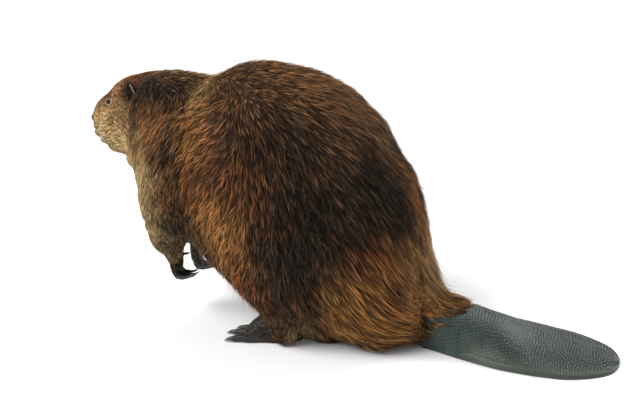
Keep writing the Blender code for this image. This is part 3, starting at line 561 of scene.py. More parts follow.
def hair_length(points):
    """Length of a tuft at each point: shortest on the face and wrists, longest on the rump."""
    x, y, z = points.T
    share = np.interp(
        behind_nose(points),
        (0.0, 0.02, 0.045, 0.07, 0.1, 0.145, 0.19, 0.23),
        (0.15, 0.2, 0.3, 0.38, 0.47, 0.68, 0.88, 1.0),
    )
    share *= 1 + 0.8 * ramp(x, 0.02, 0.1) * ramp(z, 0.26, 0.16)
    share *= 1 - 0.35 * ramp(z, 0.035, 0.012) * ramp(x, -0.005, -0.045)
    share *= 1 - 0.45 * arm_share(points)
    share *= 1 - 0.45 * ramp(z, 0.15, 0.11) * ramp(x, -0.19, -0.21)
    share *= 1 - 0.5 * shank_share(points)
    share *= 1 - 0.45 * stubble(points)
    share *= 1 - 0.8 * ramp(past_fur(x, y), -0.045, -0.01)
    return bpy.context.scene.beaver_coat.length * share


def tousle(points):
    """How much the locks turn aside: little on hump and back, more on flank, neck and haunch."""
    x, _, z = points.T
    smooth = ramp(z, 0.285, 0.335) * ramp(x, -0.15, -0.1)
    return 0.24 - 0.17 * np.maximum(smooth, ramp(x, 0.0, 0.05))


def fur_weight(points, normals):
    """1 where hair grows, and 0 on the tail, in the eyes, on the lips' edge and under the nose pad."""
    x, y, z = points.T
    hidden = (past_fur(x, y) > -0.001) & (z < 0.085)
    for word, side in SIDES:
        hidden |= eye_oval(points, word, side) < 1.32
    near, apart, deep = near_mouth(points, 0.045)
    hidden[near] |= (apart < 0.002) & (deep > 0.4)
    away = (points - box_middle("nose") - UP * 0.0016) / np.array((0.01, 0.015, 0.0125))
    return 1.0 - (hidden | (far(away) < 1))


def add_node(tree, kind, **settings):
    node = tree.nodes.new(kind)
    for key, value in settings.items():
        if key in node.inputs:
            node.inputs[key].default_value = value
        else:
            setattr(node, key, value)
    return node


def material(name, roughness, specular, base=None):
    """A material with its node tree and its Principled shader, and its base colour where it is given."""
    made = bpy.data.materials.new(name)
    made.use_nodes = True
    shader = made.node_tree.nodes["Principled BSDF"]
    shader.inputs["Roughness"].default_value = roughness
    shader.inputs["Specular IOR Level"].default_value = specular
    if base:
        shader.inputs["Base Color"].default_value = (*base, 1)
    return made, made.node_tree, shader


def raise_by(tree, shader, kind, output, strength, distance, **settings):
    """Bumps a shader's surface by a procedural pattern."""
    place = add_node(tree, "ShaderNodeTexCoord")
    pattern = add_node(tree, kind, **settings)
    raised = add_node(tree, "ShaderNodeBump", Strength=strength, Distance=distance)
    tree.links.new(place.outputs["Object"], pattern.inputs["Vector"])
    tree.links.new(pattern.outputs[output], raised.inputs["Height"])
    tree.links.new(raised.outputs["Normal"], shader.inputs["Normal"])


def attribute_material(name, attribute, roughness, specular, grain=None):
    """Colour from the piece's own attribute, with fine grain of (scale, distance) where it is given."""
    made, tree, shader = material(name, roughness, specular)
    source = add_node(tree, "ShaderNodeAttribute", attribute_name=attribute)
    tree.links.new(source.outputs["Color"], shader.inputs["Base Color"])
    if grain:
        noise = {"Scale": grain[0], "Detail": 4.0, "Roughness": 0.6}
        raise_by(tree, shader, "ShaderNodeTexNoise", "Fac", 0.8, grain[1], **noise)
    return made


def paint(obj, name, colours):
    """Writes a colour for each vertex as a named attribute."""
    layer = obj.data.attributes.new(name, "FLOAT_COLOR", "POINT")
    rgba = np.ones((len(colours), 4), np.float32)
    rgba[:, :3] = colours
    layer.data.foreach_set("color", rgba.ravel())


def finish_piece(obj, made, slot, *nodes):
    """Of one material, smooth, riding on the body, and standing for the nodes; the slot is not used."""
    obj.data.materials.append(made)
    obj.data.shade_smooth()
    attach(obj, BODY)
    if nodes:
        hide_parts(*nodes)


def sculpt_face(obj):
    """Shapes bridge, brows and chin, and sets lids, lips and folds into the head's skin."""
    points, normals = coords(obj), vertex_normals(obj)
    behind = behind_nose(points)
    aside = np.abs((points - NOSE) @ LEFTWARD)
    height = points[:, 2] - NOSE[2]
    fields = {
        "aside": aside, "height": height, "all": 1.0, "upper": ramp(normals[:, 2], -0.1, 0.4),
        "brow": ramp(height, 0.042, 0.052), "side": ramp(aside, 0.02, 0.035),
        "cheek": ramp(aside, 0.03, 0.042),
    }
    shift = np.zeros(len(points))
    for out, back, deep, axis, centre, reach, limit in FACE_FORMS:
        form = bump(behind, back / 10000, deep / 10000) * bump(fields[axis], centre / 10000, reach / 10000)
        shift += out / 10000 * form * fields[limit]
    ear_fold = bump(behind, 0.108 - 0.25 * (height - 0.04), 0.004) * ramp(aside, 0.035, 0.045)
    shift -= 0.003 * ear_fold * ramp(height, 0.018, 0.03) * ramp(height, 0.062, 0.05)
    near, apart, deep = near_mouth(points, 0.06, 0.02)
    groove = -0.0018 * bump(apart, 0, 0.0012 + 0.001 * (1 - deep)) * deep * ramp(behind[near], 0.002, 0.01)
    shift[near] += groove + 0.0014 * bump(apart, 0.0048, 0.0026) * deep
    split = ramp(behind, 0.02, 0.012) * ramp(height, -0.016, -0.013) * ramp(height, 0.004, -0.004)
    shift -= 0.0012 * bump(aside, 0, 0.001) * split
    points = points + normals * shift[:, None]
    for word, side in SIDES:
        out = eye_axes(side)[0]
        rel = points - eye_centre(word)
        n = rel @ out
        wide = (rel ** 2).sum(1) - n ** 2
        oval = eye_oval(points, word, side)
        ring = (n > -0.005) & (wide < 0.014 ** 2)
        lid = EYE_RADIUS + 0.0004 + 0.0011 * bump(oval, 1.25, 0.22)
        cover, socket = (np.sqrt(np.clip(r ** 2 - wide, 0, None)) for r in (lid, EYE_RADIUS - 0.0014))
        wanted = np.where(oval < 1.0, np.minimum(n, socket), np.maximum(n, cover))
        fold = 0.0009 * bump(oval, 2.3, 0.3)
        points = points + out * ((wanted - n - fold) * ring)[:, None]
    set_coords(obj, points)


class BEAVER_OT_skin(bpy.types.Operator):
    """Makes the one skin under the coat, with lids, lips, markings and the painted shade between the hairs"""
    bl_idname = "beaver.skin"
    bl_label = "Skin"

    def execute(self, context):
        skin = merged_copy("skin", FLESH, 0.0004)
        apply_modifier(skin, "REMESH", mode="VOXEL", voxel_size=0.0027)
        points = coords(skin)
        body = (1 - head_share(points)) * (1 - 0.8 * arm_share(points)) * (1 - 0.8 * shank_share(points))
        relax(skin, 0.06 + 0.94 * body, 180)
        points = coords(skin)
        x, y, z = points.T
        inset = 0.0009 + (context.scene.beaver_coat.depth - 0.0009) * body - fullness(points)
        past = ramp(past_fur(x, y), -0.003, 0.008)
        inset += 0.015 * past * ramp(x, 0.14, 0.156) * ramp(z, 0.1, 0.075)
        set_coords(skin, points - vertex_normals(skin) * inset[:, None])
        subdivide_where(skin, lambda p: (behind_nose(p) < 0.085) & (p[:, 2] > 0.215))
        relax(skin, ramp(behind_nose(coords(skin)), 0.1, 0.08) * 0.6, 4)
        self.fit_legs(skin)
        left, right = (eye_centre(word) for word, _ in SIDES)
        for reach in (0.016, 0.012):
            subdivide_where(skin, lambda p: np.minimum(far(p - left), far(p - right)) < reach)
        sculpt_face(skin)
        points = coords(skin)
        eye = np.minimum(*(eye_oval(points, word, side) for word, side in SIDES))
        relax(skin, 0.5 * head_share(points) * ramp(eye, 2.5, 4.0), 3)
        low = ramp(points[:, 2], 0.27, 0.262) * ramp(behind_nose(points), 0.062, 0.05)
        relax(skin, 0.8 * head_share(points) * low, 8)
        smart_unwrap(skin)
        points = coords(skin)
        # Painted shade: the skin is painted at 0.26 of the markings under the body's coat and at 0.86 on the
        # head, for the shade between the hairs
        paint(skin, "skin_colour", markings(points) * (0.26 + 0.6 * head_share(points))[:, None])
        underfur = attribute_material("underfur", "skin_colour", 0.85, 0.25, (900.0, 0.0006))
        finish_piece(skin, underfur, "body_fur", *FLESH)
        return {"FINISHED"}

    def fit_legs(self, skin):
        """Draws the heels in, hangs the haunch's fur to the floor as a dark skirt for the shadow under the
        belly, and narrows the wrists down to the hands.
        """
        points = coords(skin)
        x, y, z = points.T
        x -= 0.016 * ramp(x, -0.045, -0.004) * heel_share(points)
        # Painted shadow: the haunch is hung to the floor here, where the markings paint it umber for the
        # shade under the belly
        z -= 0.023 * shadow_skirt_share(points)
        for _, side in SIDES:
            away = points[:, :2] - np.array((-0.247, side * 0.042))
            low = ramp(z + (HAND_DROP if side > 0 else 0.0), 0.134, 0.108) * (x < -0.205)
            low *= ramp(np.abs(y - side * 0.05), 0.06, 0.045)
            z -= 0.02 * low * ramp(np.hypot(*away.T), 0.022, 0.006)
            points[:, :2] -= away * (0.12 * low)[:, None]
        points[:, 2] = np.maximum(z, FLOOR_GAP)
        set_coords(skin, points)


def scatter(draw, points, faces, density, count):
    """Evenly drawn places: their faces and their shares of the faces' three corners."""
    a, b, c = (points[faces[:, k]] for k in range(3))
    area = np.linalg.norm(np.cross(b - a, c - a), axis=1) / 2 * density
    reached = np.cumsum(area) / area.sum()
    drawn = (np.arange(count) + draw.random(count)) / count
    spots = np.minimum(np.searchsorted(reached, drawn), len(faces) - 1)
    u, v = draw.random(count), draw.random(count)
    over = u + v > 1
    u[over], v[over] = 1 - u[over], 1 - v[over]
    return spots, np.column_stack((1 - u - v, u, v))


def blend_corners(values, corners, shares):
    return (values[corners] * shares[:, :, None]).sum(1)


class Ground:
    """The skin with the tail, hands and feet, over which the hair lies."""

    def __init__(self, objects):
        verts, faces, start = [], [], 0
        for obj in objects:
            points = coords(obj)
            verts.append(points)
            faces.append(triangles(obj)[0] + start)
            start += len(points)
        self.tree = BVHTree.FromPolygons(np.concatenate(verts).tolist(), np.concatenate(faces).tolist())

    def walk(self, starts, normals, lengths, steps, lie):
        """Paths over the surface, along the lie, and the surface's normals on them."""
        place, facing = starts.copy(), normals.copy()
        paths, ways = [place.copy()], [facing.copy()]
        for _ in range(steps):
            way = lie(place, facing)
            ahead = place + way * (lengths / steps)[:, None]
            for k, point in enumerate(ahead):
                hit, normal, _, _ = self.tree.find_nearest(Vector(point))
                place[k] = hit
                facing[k] = normal
            facing = unit(facing + 0.6 * ways[-1])
            paths.append(place.copy())
            ways.append(facing.copy())
        return np.stack(paths, 1), np.stack(ways, 1)


def tuft_mesh(name, spine, across, raised, wide, colours, uvs):
    """Closed tufts of two three-cornered rings and a tip, each with its own small patch of the UV map."""
    count, patch = len(spine), 0.003
    points, shades = np.empty((2, count, 7, 3), np.float32)
    places = np.empty((count, 7, 2), np.float32)
    for ring, share in enumerate((0.85, 0.95)):
        for k, (side, height) in enumerate(((-0.5, 0.0), (0.5, 0.0), (0.0, 0.42)), ring * 3):
            offset = across[:, ring] * side + raised[:, ring] * height
            points[:, k] = spine[:, ring] + offset * (wide * share)[:, None]
            shades[:, k] = colours[:, ring]
            places[:, k] = uvs + np.array((side, ring / 2 - 0.5)) * patch
    points[:, 6] = spine[:, 2]
    shades[:, 6] = colours[:, 2]
    places[:, 6] = uvs + np.array((0.0, 0.5)) * patch
    points[:, :, 2] = np.maximum(points[:, :, 2], FLOOR_GAP)
    every = (TUFT_FACES + 7 * np.arange(count)[:, None, None]).ravel().astype(np.int32)
    mesh = bpy.data.meshes.new(name)
    mesh.vertices.add(count * 7)
    mesh.vertices.foreach_set("co", points.ravel())
    mesh.loops.add(len(every))
    mesh.loops.foreach_set("vertex_index", every)
    mesh.polygons.add(len(every) // 3)
    mesh.polygons.foreach_set("loop_start", np.arange(0, len(every), 3, dtype=np.int32))
    mesh.update(calc_edges=True)
    obj = add_object(name, mesh)
    paint(obj, "coat_colour", shades.reshape(-1, 3))
    layer = mesh.uv_layers.new(name="OFBake")
    layer.data.foreach_set("uv", places.reshape(-1, 2)[every].ravel())
    return obj


def nearest_guides(guides, roots):
    """The guide that each root leans to, and how near the root is to the next one, from 0 to 1."""
    tree = KDTree(len(guides))
    for k, point in enumerate(guides):
        tree.insert(point, k)
    tree.balance()
    found = [tree.find_n(point, 2) for point in roots]
    owner = np.array([near[1] for near, _ in found])
    return owner, np.array([near[2] / max(other[2], 1e-9) for near, other in found])


def new_mesh(name, points, faces):
    mesh = bpy.data.meshes.new(name)
    mesh.from_pydata([tuple(p) for p in points], [], faces)
    return add_object(name, mesh)


def ball(name, centre, shape, segments, rings):
    """A sphere whose unit points the given function turns into places."""
    bpy.ops.mesh.primitive_uv_sphere_add(segments=segments, ring_count=rings, radius=1.0)
    obj = bpy.context.object
    obj.name = obj.data.name = name
    set_coords(obj, centre + shape(coords(obj)))
    return obj


def tapered(name, path, radii, sides, flat=1.0):
    """A closed tube along a path that lies in one upright plane, flat times as wide as it is tall."""
    along = unit(np.gradient(path, axis=0))
    across = unit(np.cross(along, UP + along[:, ::-1] * 0.001))
    turn = (np.arange(sides) * math.tau / sides)[:, None]
    rims = across[:, None] * (np.cos(turn) * flat) + np.cross(across, along)[:, None] * np.sin(turn)
    points = (path[:, None] + rims * radii[:, None, None]).reshape(-1, 3)
    faces = [tuple(range(sides)), tuple(range(len(points) - 1, len(points) - 1 - sides, -1))]
    for k in range(0, len(points) - sides, sides):
        for j in range(sides):
            a, b = k + j, k + (j + 1) % sides
            faces.append((b, a, a + sides, b + sides))
    return new_mesh(name, points, faces)


def claw(path, radius, flat):
    """One curved claw, dark at its root and pale at its point."""
    t = np.linspace(0, 1, 14)
    obj = tapered("claw", curve_points(path, 14), radius * (1 - 0.93 * t ** 1.6), 10, flat)
    colours = palette()
    share = np.repeat(ramp(t, 0.35, 1.0), 10)
    paint(obj, "claw_colour", mix(colours["leather"] * 0.8, colours["horn"], share))
    return obj


def toes(side):
    """Tip and claw point of each toe of a hind foot."""
    out = []
    for spread, reach in ((-0.029, 0.003), (-0.018, 0.013), (-0.004, 0.026), (0.013, 0.034), (0.034, 0.029)):
        base = np.array((-0.0972, side * (0.072 + spread * 0.7), 0.0071))
        tip = np.array((-0.0972 - reach, side * (0.072 + spread), 0.0047))
        out.append((tip, tip + unit(tip - base) * 0.012 - UP * 0.003))
    return out


HAND_DOWN = unit(np.array((0.1, 0, -1.0)))
HAND_BACK = unit(np.array((1.0, 0, 0.1)))


def fingers(side):
    """Claw bed and claw point of each finger of a forepaw, and of its thumb."""
    wrist = np.array((-0.2492, side * 0.037, 0.102 - (HAND_DROP if side > 0 else 0.0)))
    out = []
    for spread, length in zip((-0.0115, -0.004, 0.0035, 0.011), (0.017, 0.021, 0.021, 0.018)):
        start = wrist + HAND_DOWN * 0.03 + np.array((0, side * spread, 0))
        bend = start + HAND_DOWN * (length * 0.45) + HAND_BACK * (length * 0.25)
        curl = bend + HAND_BACK * (length * 0.55) + HAND_DOWN * (length * 0.05)
        tip = curl + HAND_BACK * (length * 0.35) - HAND_DOWN * (length * 0.1)
        out.append((curl + (tip - curl) * 0.6, tip + HAND_BACK * 0.012 - HAND_DOWN * 0.005))
    start = wrist + HAND_DOWN * 0.008 + np.array((0, -side * 0.0087, 0))
    tip = start + HAND_BACK * 0.014 - HAND_DOWN * 0.003
    out.append((start + (tip - start) * 0.7, tip + HAND_BACK * 0.008 - HAND_DOWN * 0.002))
    return out


# Hand and foot: piece, node, claws, their places, voxel, rounds of smoothing, and the way up for the claws;
# how far each claw starts back and up, has its middle ahead and up, and ends up; its radius and its flatness
LIMBS = (
    ("foot_", "hind_foot_", "claws_hind_", toes, 0.0011, 16, UP,
     (0.004, 0.0008, 0.006, 0.0022, 0.0012), 0.0036, 1.1),
    ("hand_", "forepaw_", "claws_fore_", fingers, 0.0009, 10, -HAND_DOWN,
     (0.003, 0.0, 0.008, -0.0012, 0.0004), 0.0026, 0.8),
)


def leathery(obj, voxel, rounds, axes):
    """Rounds a bare hand or foot off, draws its old claws in along their axes, and wrinkles it."""
    apply_modifier(obj, "REMESH", mode="VOXEL", voxel_size=voxel)
    points = coords(obj)
    for start, end in axes:
        way = unit(end - start)
        along = (points - start) @ way
        off = points - (start + way * np.clip(along, 0, None)[:, None])
        inside = (along > 0.0005) & (far(off) < 0.0046)
        drawn_in = start + way * np.minimum(along, 0.004)[:, None] + off * 0.3
        points = np.where(inside[:, None], drawn_in, points)
    set_coords(obj, points)
    relax(obj, 0.9, rounds)
    points, normals = coords(obj), vertex_normals(obj)
    lined = ripple(points * np.array((1.0, 0.5, 1.0)), 0.005, 8)
    wrinkles = lined - 0.6 * np.abs(ripple(points, 0.0022, 9))
    points = points + normals * (0.00035 * wrinkles)[:, None]
    points[:, 2] = np.maximum(points[:, 2], 0.0001)
    set_coords(obj, points)
    smart_unwrap(obj)
    tone = 0.85 + 0.35 * ripple(points, 0.012, 12) + 0.25 * lined
    paint(obj, "skin_colour", palette()["leather"] * np.clip(tone, 0.4, 1.6)[:, None])
    # The heel, which no hand reaches, is drawn in under the haunch
    points[:, 0] -= 0.024 * ramp(points[:, 0], -0.05, -0.003)
    set_coords(obj, points)


class BEAVER_OT_limbs(bpy.types.Operator):
    """Makes the bare hands and feet and their claws"""
    bl_idname = "beaver.limbs"
    bl_label = "Hands and feet"

    def execute(self, context):
        leather = attribute_material("leather", "skin_colour", 0.5, 0.45, (700.0, 0.0008))
        horn = attribute_material("horn", "claw_colour", 0.3, 0.5)
        for word, side in SIDES:
            for piece, node, nails, places, voxel, rounds, up, bends, radius, flat in LIMBS:
                paw = merged_copy(piece + word, [node + word])
                leathery(paw, voxel, rounds, places(side))
                finish_piece(paw, leather, "paw_skin", node + word)
                back, root, ahead, middle, tip = bends
                made = []
                for start, end in places(side):
                    way = unit(end - start)
                    path = (start - way * back + up * root, start + way * ahead + up * middle, end + up * tip)
                    made.append(claw(path, radius, flat))
                claws = joined(nails + word, made)
                smart_unwrap(claws)
                finish_piece(claws, horn, "paw_skin")
        return {"FINISHED"}


def blade_at(x):
    """Middle y, half width and thickness of the blade at each x."""
    fine = np.linspace(BLADE[0, 0], BLADE[-1, 0], 400)
    kernel = np.hanning(31) / np.hanning(31).sum()
    out = []
    for column, power in ((1, 1), (2, 2), (3, 1)):
        line = np.interp(fine, BLADE[:, 0], BLADE[:, column] ** power)
        line = np.convolve(np.pad(line, 15, mode="reflect", reflect_type="odd"), kernel, "valid")
        out.append(np.maximum(np.interp(x, fine, line), 0) ** (1 / power))
    return out


def scales(x, y):
    """1 on the tail's scales and 0 in the grooves between them, and each scale's own number."""
    size = bpy.context.scene.beaver_tail
    place = np.column_stack((x, y, x * 0))
    x = x + 0.0016 * ripple(place, 0.024, 21) + 0.0035 * ripple(place, 0.09, 23)
    y = y + 0.0016 * ripple(place, 0.021, 22)
    step, pitch = size.scale_width, size.scale_length * 2
    stretch = step / pitch * 1.4
    found = []
    for shift in (0.0, 0.5):
        i, j = np.round(x / pitch - shift), np.round(y / step - shift)
        dx, dy = x - (i + shift) * pitch, y - (j + shift) * step
        for beside in (0.0, np.sign(dy)):
            number = i * 57.0 + j * 131.0 + shift * 17.0 + 131 * beside
            found.append((np.hypot(dx * stretch, dy - beside * step), number, dx))
    away, number, slope = np.array(found).transpose(1, 0, 2)
    order = np.argsort(away, axis=0)
    first, second = np.take_along_axis(away, order[:2], 0)
    number, slope = (np.take_along_axis(values, order[:1], 0)[0] for values in (number, slope))
    relief = ramp(second - first, 0.0, step * 0.3) * (0.75 + 0.5 * slope / pitch)
    return relief, np.modf(np.abs(np.sin(number * 12.9898)) * 43.7)[0]


class BEAVER_OT_tail(bpy.types.Operator):
    """Makes the flat, scaly tail with its ridge, hollow and rim"""
    bl_idname = "beaver.tail"
    bl_label = "Tail"

    def execute(self, context):
        colours = palette()
        across, rings = ((176, 322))
        start, bend, end = 0.148, 0.404, 0.4293
        tip = bend + (end - bend) * np.sin(np.linspace(0, math.pi / 2, 60)[1:])
        along = np.append(np.linspace(start, bend, rings), tip)[:, None]
        middle, half, thick = blade_at(along)
        half = np.maximum(half, 0.0015)
        u, y, height, wall = self.section(along, middle, half, thick)

        # Even steps along the bent section, on which the scales are laid out
        steps = np.hypot(np.diff(y, axis=1), np.diff(height, axis=1))
        bent = np.pad(np.cumsum(steps, 1), ((0, 0), (1, 0)))
        spots = bent[:, -1:] * np.linspace(0, 1, across)
        centre = bent[:, 600:601]
        fine = (np.broadcast_to(values, bent.shape) for values in (y, height, u))
        y, height, u = (np.stack([np.interp(*row) for row in zip(spots, bent, values)]) for values in fine)
        x = np.repeat(along, across, 1)
        relief, shade = (v.reshape(x.shape) for v in scales(x.ravel(), (spots - centre).ravel()))
        edge = ramp(np.abs(u) - 0.06 * ramp(along, 0.28, 0.23), 0.985, 0.93) * ramp(along, 0.4285, 0.42)
        height = height + context.scene.beaver_tail.relief * (relief * (0.8 + 0.4 * shade) - 0.5) * edge
        dip = 0.01 * ramp(past_fur(x, y), -0.002, -0.02) * ramp(np.abs(y - 0.018), 0.038, 0.025)
        height = np.maximum(height - dip, FLOOR_GAP)
        tone = colours["tail"] * (0.86 + 0.3 * shade)[..., None]
        tone = mix(tone, colours["tail_groove"], (1 - np.clip(relief, 0, 1)) * edge)

        # Rounded sides and a flat underside, in shares of the half width and of the thickness
        side = ((0.997, 0.19), (1.0, 0.14), (0.994, 0.08), (0.978, 0.03), (0.95, 0.0))
        under = [(v, 0.0) for v in np.linspace(0.84, -0.84, 9)]
        out, up = np.array([*side, *under, *((-a, b) for a, b in side[::-1])]).T
        wavy = 1 + 0.01 * ripple(along * (1, 0, 0), 0.05, 31)[:, None]
        y = np.hstack((middle + (y - middle) * wavy, middle + half * wavy * out))
        height = np.hstack((height, np.maximum(up * (1 - 0.75 * wall) * thick, 0.0002)))
        points = np.dstack((np.broadcast_to(along, y.shape), y, height)).reshape(-1, 3)
        below = np.broadcast_to(colours["tail"] * 0.8, (len(along), len(out), 3))
        shade = np.concatenate((tone, below), 1).reshape(-1, 3)
        size = y.shape[1]
        faces = []
        for k in range(0, len(points) - size, size):
            for j in range(size):
                a, b = k + j, k + (j + 1) % size
                faces.append((a, a + size, b + size, b))
        faces += [tuple(range(size)), tuple(range(len(points) - 1, len(points) - 1 - size, -1))]
        tail = new_mesh("tail_blade", points, faces)
        shade = shade * (1 + 0.16 * ripple(points * (1, 1, 0), 0.05, 33))[:, None]
        off = np.abs(points[:, 1] - np.repeat(middle, size)) / np.repeat(half, size)
        olive = ramp(off, 0.7, 0.96) * ramp(points[:, 0], 0.2, 0.26) * 0.35
        shade = mix(shade, np.array(srgb(98, 102, 84)), olive)
        paint(tail, "tail_colour", shade * (1.2 - 0.54 * ramp(points[:, 0], 0.205, 0.29))[:, None])
        smart_unwrap(tail)
        scaly = attribute_material("tail_leather", "tail_colour", 0.42, 0.36, (900.0, 0.0004))
        finish_piece(tail, scaly, "tail_scales", "tail")
        return {"FINISHED"}

    def section(self, along, middle, half, thick):
        """Fine sections of the top, from side to side: the blade with hollow and rim, and the trunk's end."""
        u = np.sin(np.linspace(-1, 1, 1201) * math.pi / 2)[None] * 0.99
        y = middle + half * u
        height = thick * (0.22 + 0.84 * (1 - np.abs(u) ** 1.8) ** 0.85)
        height = height - 0.0022 * bump(np.abs(u), 0.62, 0.2) * ramp(along, 0.24, 0.34)
        height = height + 0.0008 * bump(np.abs(u), 0.955, 0.03) * ramp(along, 0.22, 0.26)
        top, wide = (np.interp(along, TRUNK_END[:, 0], TRUNK_END[:, k]) for k in (1, 2))
        beside = np.clip(np.abs(y - 0.006) / wide, 0, 1)
        swell = top * (1 - beside ** 2.2) ** (0.5 + 0.4 * ramp(along, 0.2, 0.26))
        height = (height ** 4 + (swell * ramp(along, 0.38, 0.25)) ** 4) ** 0.25
        wall = ramp(along, 0.23, 0.17)
        return u, y, height * (1 - wall * np.abs(u / 0.99) ** 24) ** 0.5 + 0.002, wall


def ear_axes(side):
    """Out of the ear's cup, along its width, and up to its tip."""
    outwards = -side * LEFTWARD
    opening = unit(FORWARD * 0.5 + outwards * 0.86)
    up = unit(UP * 0.95 + outwards * 0.25 + FORWARD * 0.3)
    width = unit(np.cross(up, opening))
    return np.array((np.cross(width, up), width, up))


def ear_cup(p):
    """Out, across and up on the ear: a wavy hollow in front, a full back, and a thin rim that bends back."""
    rim = np.clip(p[:, 1] ** 2 + p[:, 2] ** 2, 0, 1)
    deep = 0.0005 - 0.0085 * (1 - rim) ** 0.8 + 0.0012 * np.cos(p[:, 2] * 9) * (1 - rim)
    out = np.where(p[:, 0] > 0, deep, -0.01 * (1 - rim) ** 0.5) - 0.0022 * p[:, 2] ** 2
    return np.column_stack((out, p[:, 1:] * EAR_HALF))


def nose_shape(p):
    """The nose pad: narrower below, with two nostrils in their rims and a groove between them."""
    ahead, aside, high = p.T
    out = 0.0032 + 0.0072 * ahead
    for turn in (-1, 1):
        slant = high + 0.1 - 0.5 * (np.abs(aside) - 0.5)
        pit = ((aside - turn * 0.52) / 0.24) ** 2 + (slant / 0.34) ** 2
        out += (0.0008 * bump(np.sqrt(pit), 1.25, 0.35) - 0.0042 * np.exp(-pit * 1.6)) * (ahead > 0)
    out -= 0.0012 * bump(aside, 0, 0.09) * ramp(high, 0.25, -0.1) * (ahead > 0)
    width = 0.0122 * (1 - 0.22 * ramp(high, 0.1, -1.0))
    up = 0.0018 + high * 0.0108 - 0.0016 * ramp(high, 0.0, 1.0) * ahead
    return np.column_stack((out, aside * width, up)) @ np.array((FORWARD, LEFTWARD, UP))


class BEAVER_OT_face(bpy.types.Operator):
    """Makes the eyes, ears, nose pad and whiskers"""
    bl_idname = "beaver.face"
    bl_label = "Face"

    def execute(self, context):
        glass = material("eye_glass", 0.08, 0.22, (0.006, 0.004, 0.003))[0]
        for word, _ in SIDES:
            eye = ball("eyeball_" + word, eye_centre(word), lambda p: p * EYE_RADIUS, 40, 24)
            finish_piece(eye, glass, "eye", "eye_" + word)
        self.ears()
        nose = ball("nose_pad", box_middle("nose"), nose_shape, 72, 56)
        made, tree, shader = material("nose_leather", 0.42, 0.5, srgb(48, 42, 40))
        raise_by(tree, shader, "ShaderNodeTexVoronoi", "Distance", 0.6, 0.0003, Scale=1100.0)
        smart_unwrap(nose)
        finish_piece(nose, made, "nose_skin", "nose")
        self.whiskers(context.scene.beaver_coat.seed + 40)
        return {"FINISHED"}

    def ears(self):
        hide = attribute_material("ear_hide", "ear_colour", 0.75, 0.3, (700.0, 0.0004))
        for word, side in SIDES:
            centre = box_middle("ear_" + word) - UP * 0.004
            axes = ear_axes(side)
            ear = ball("ear_shell_" + word, centre, lambda p: ear_cup(p) @ axes, 64, 44)
            rel = coords(ear) - centre
            out, wide, tall = axes @ rel.T
            rim = np.hypot(wide / EAR_HALF[0], tall / EAR_HALF[1])
            inner = out > -0.005 * np.sqrt(np.clip(1 - rim ** 2, 0, 1)) - 0.003
            shade = np.where(inner[:, None], srgb(30, 22, 18), srgb(56, 41, 29))
            behind = ramp(-(rel @ FORWARD), 0.0, 0.004) * ramp(tall, -0.012, -0.007)
            depth = out + 0.0022 * (tall / EAR_HALF[1]) ** 2
            pale = ramp(depth, -0.0009, -0.0002) * ramp(rim, 0.975, 0.99) * behind
            paint(ear, "ear_colour", mix(shade, np.array(srgb(226, 204, 172)), pale))
            smart_unwrap(ear)
            finish_piece(ear, hide, "ear_skin", "ear_" + word)

    def whiskers(self, seed):
        draw = np.random.default_rng(seed)
        ground = Ground([bpy.data.objects["skin"]])
        hairs = []
        for side in np.repeat((-1, 1), 9):
            outwards = -side * LEFTWARD
            start = NOSE - FORWARD * draw.uniform(0.012, 0.032) + outwards * 0.05
            start = start + UP * draw.uniform(-0.012, 0.002)
            hit = ground.tree.ray_cast(Vector(start), Vector(-outwards))[0]
            if hit is None:
                continue
            root = np.array(hit) - outwards * 0.001
            length = draw.uniform(0.02, 0.034)
            way = unit(outwards * 0.75 - FORWARD * 0.55 - UP * draw.uniform(0.0, 0.35))
            end = root + unit(way - FORWARD * 0.35 - UP * 0.25) * length
            path = curve_points((root, root + way * length * 0.5, end), 8)
            hairs.append(tapered("whisker", path, 0.00024 * (1 - 0.8 * np.linspace(0, 1, 8)), 5))
        whiskers = joined("whiskers", hairs)
        smart_unwrap(whiskers)
        finish_piece(whiskers, material("whisker", 0.45, 0.4, srgb(112, 96, 76))[0], "head_fur")


def paw_lie(points, normals):
    """Hair on the feet runs forward and down, and on the hands straight down."""
    ways = mix(np.array((-1.0, 0.0, -0.35)), -UP, ramp(points[:, 2], 0.05, 0.06))
    return laid(ways, normals)


def paw_weight(points, normals):
    """Short hair stands on the top of each foot and the front of each hand, and not on toes or claws."""
    x, _, z = points.T
    foot = ramp(x, -0.118, -0.095) * ramp(normals[:, 2] + 0.45 * ramp(x, -0.09, -0.06), 0.05, 0.3)
    hand = ramp(z, 0.06, 0.076) * ramp(normals[:, 0], 0.45, -0.1)
    return np.where(z > 0.05, np.maximum(hand, ramp(z, 0.078, 0.09)), foot)


def paw_length(points):
    """Hair on hands and feet, longest at wrist and heel."""
    hand = 0.006 + 0.007 * ramp(points[:, 2], 0.075, 0.1)
    foot = 0.0065 + 0.011 * ramp(points[:, 0], -0.08, -0.035)
    return np.where(points[:, 2] > 0.05, hand, foot)


def paw_tone(points):
    """Dark hair, tan on the front of the wrists and on the heels."""
    x, _, z = points.T
    colours = palette()
    wrist = mix(colours["umber"] * 1.1, colours["tan"], ramp(z, 0.05, 0.06) * ramp(x, -0.25, -0.259) * 0.7)
    return mix(wrist, colours["tan"], ramp(x, -0.052, -0.032) * 0.7)


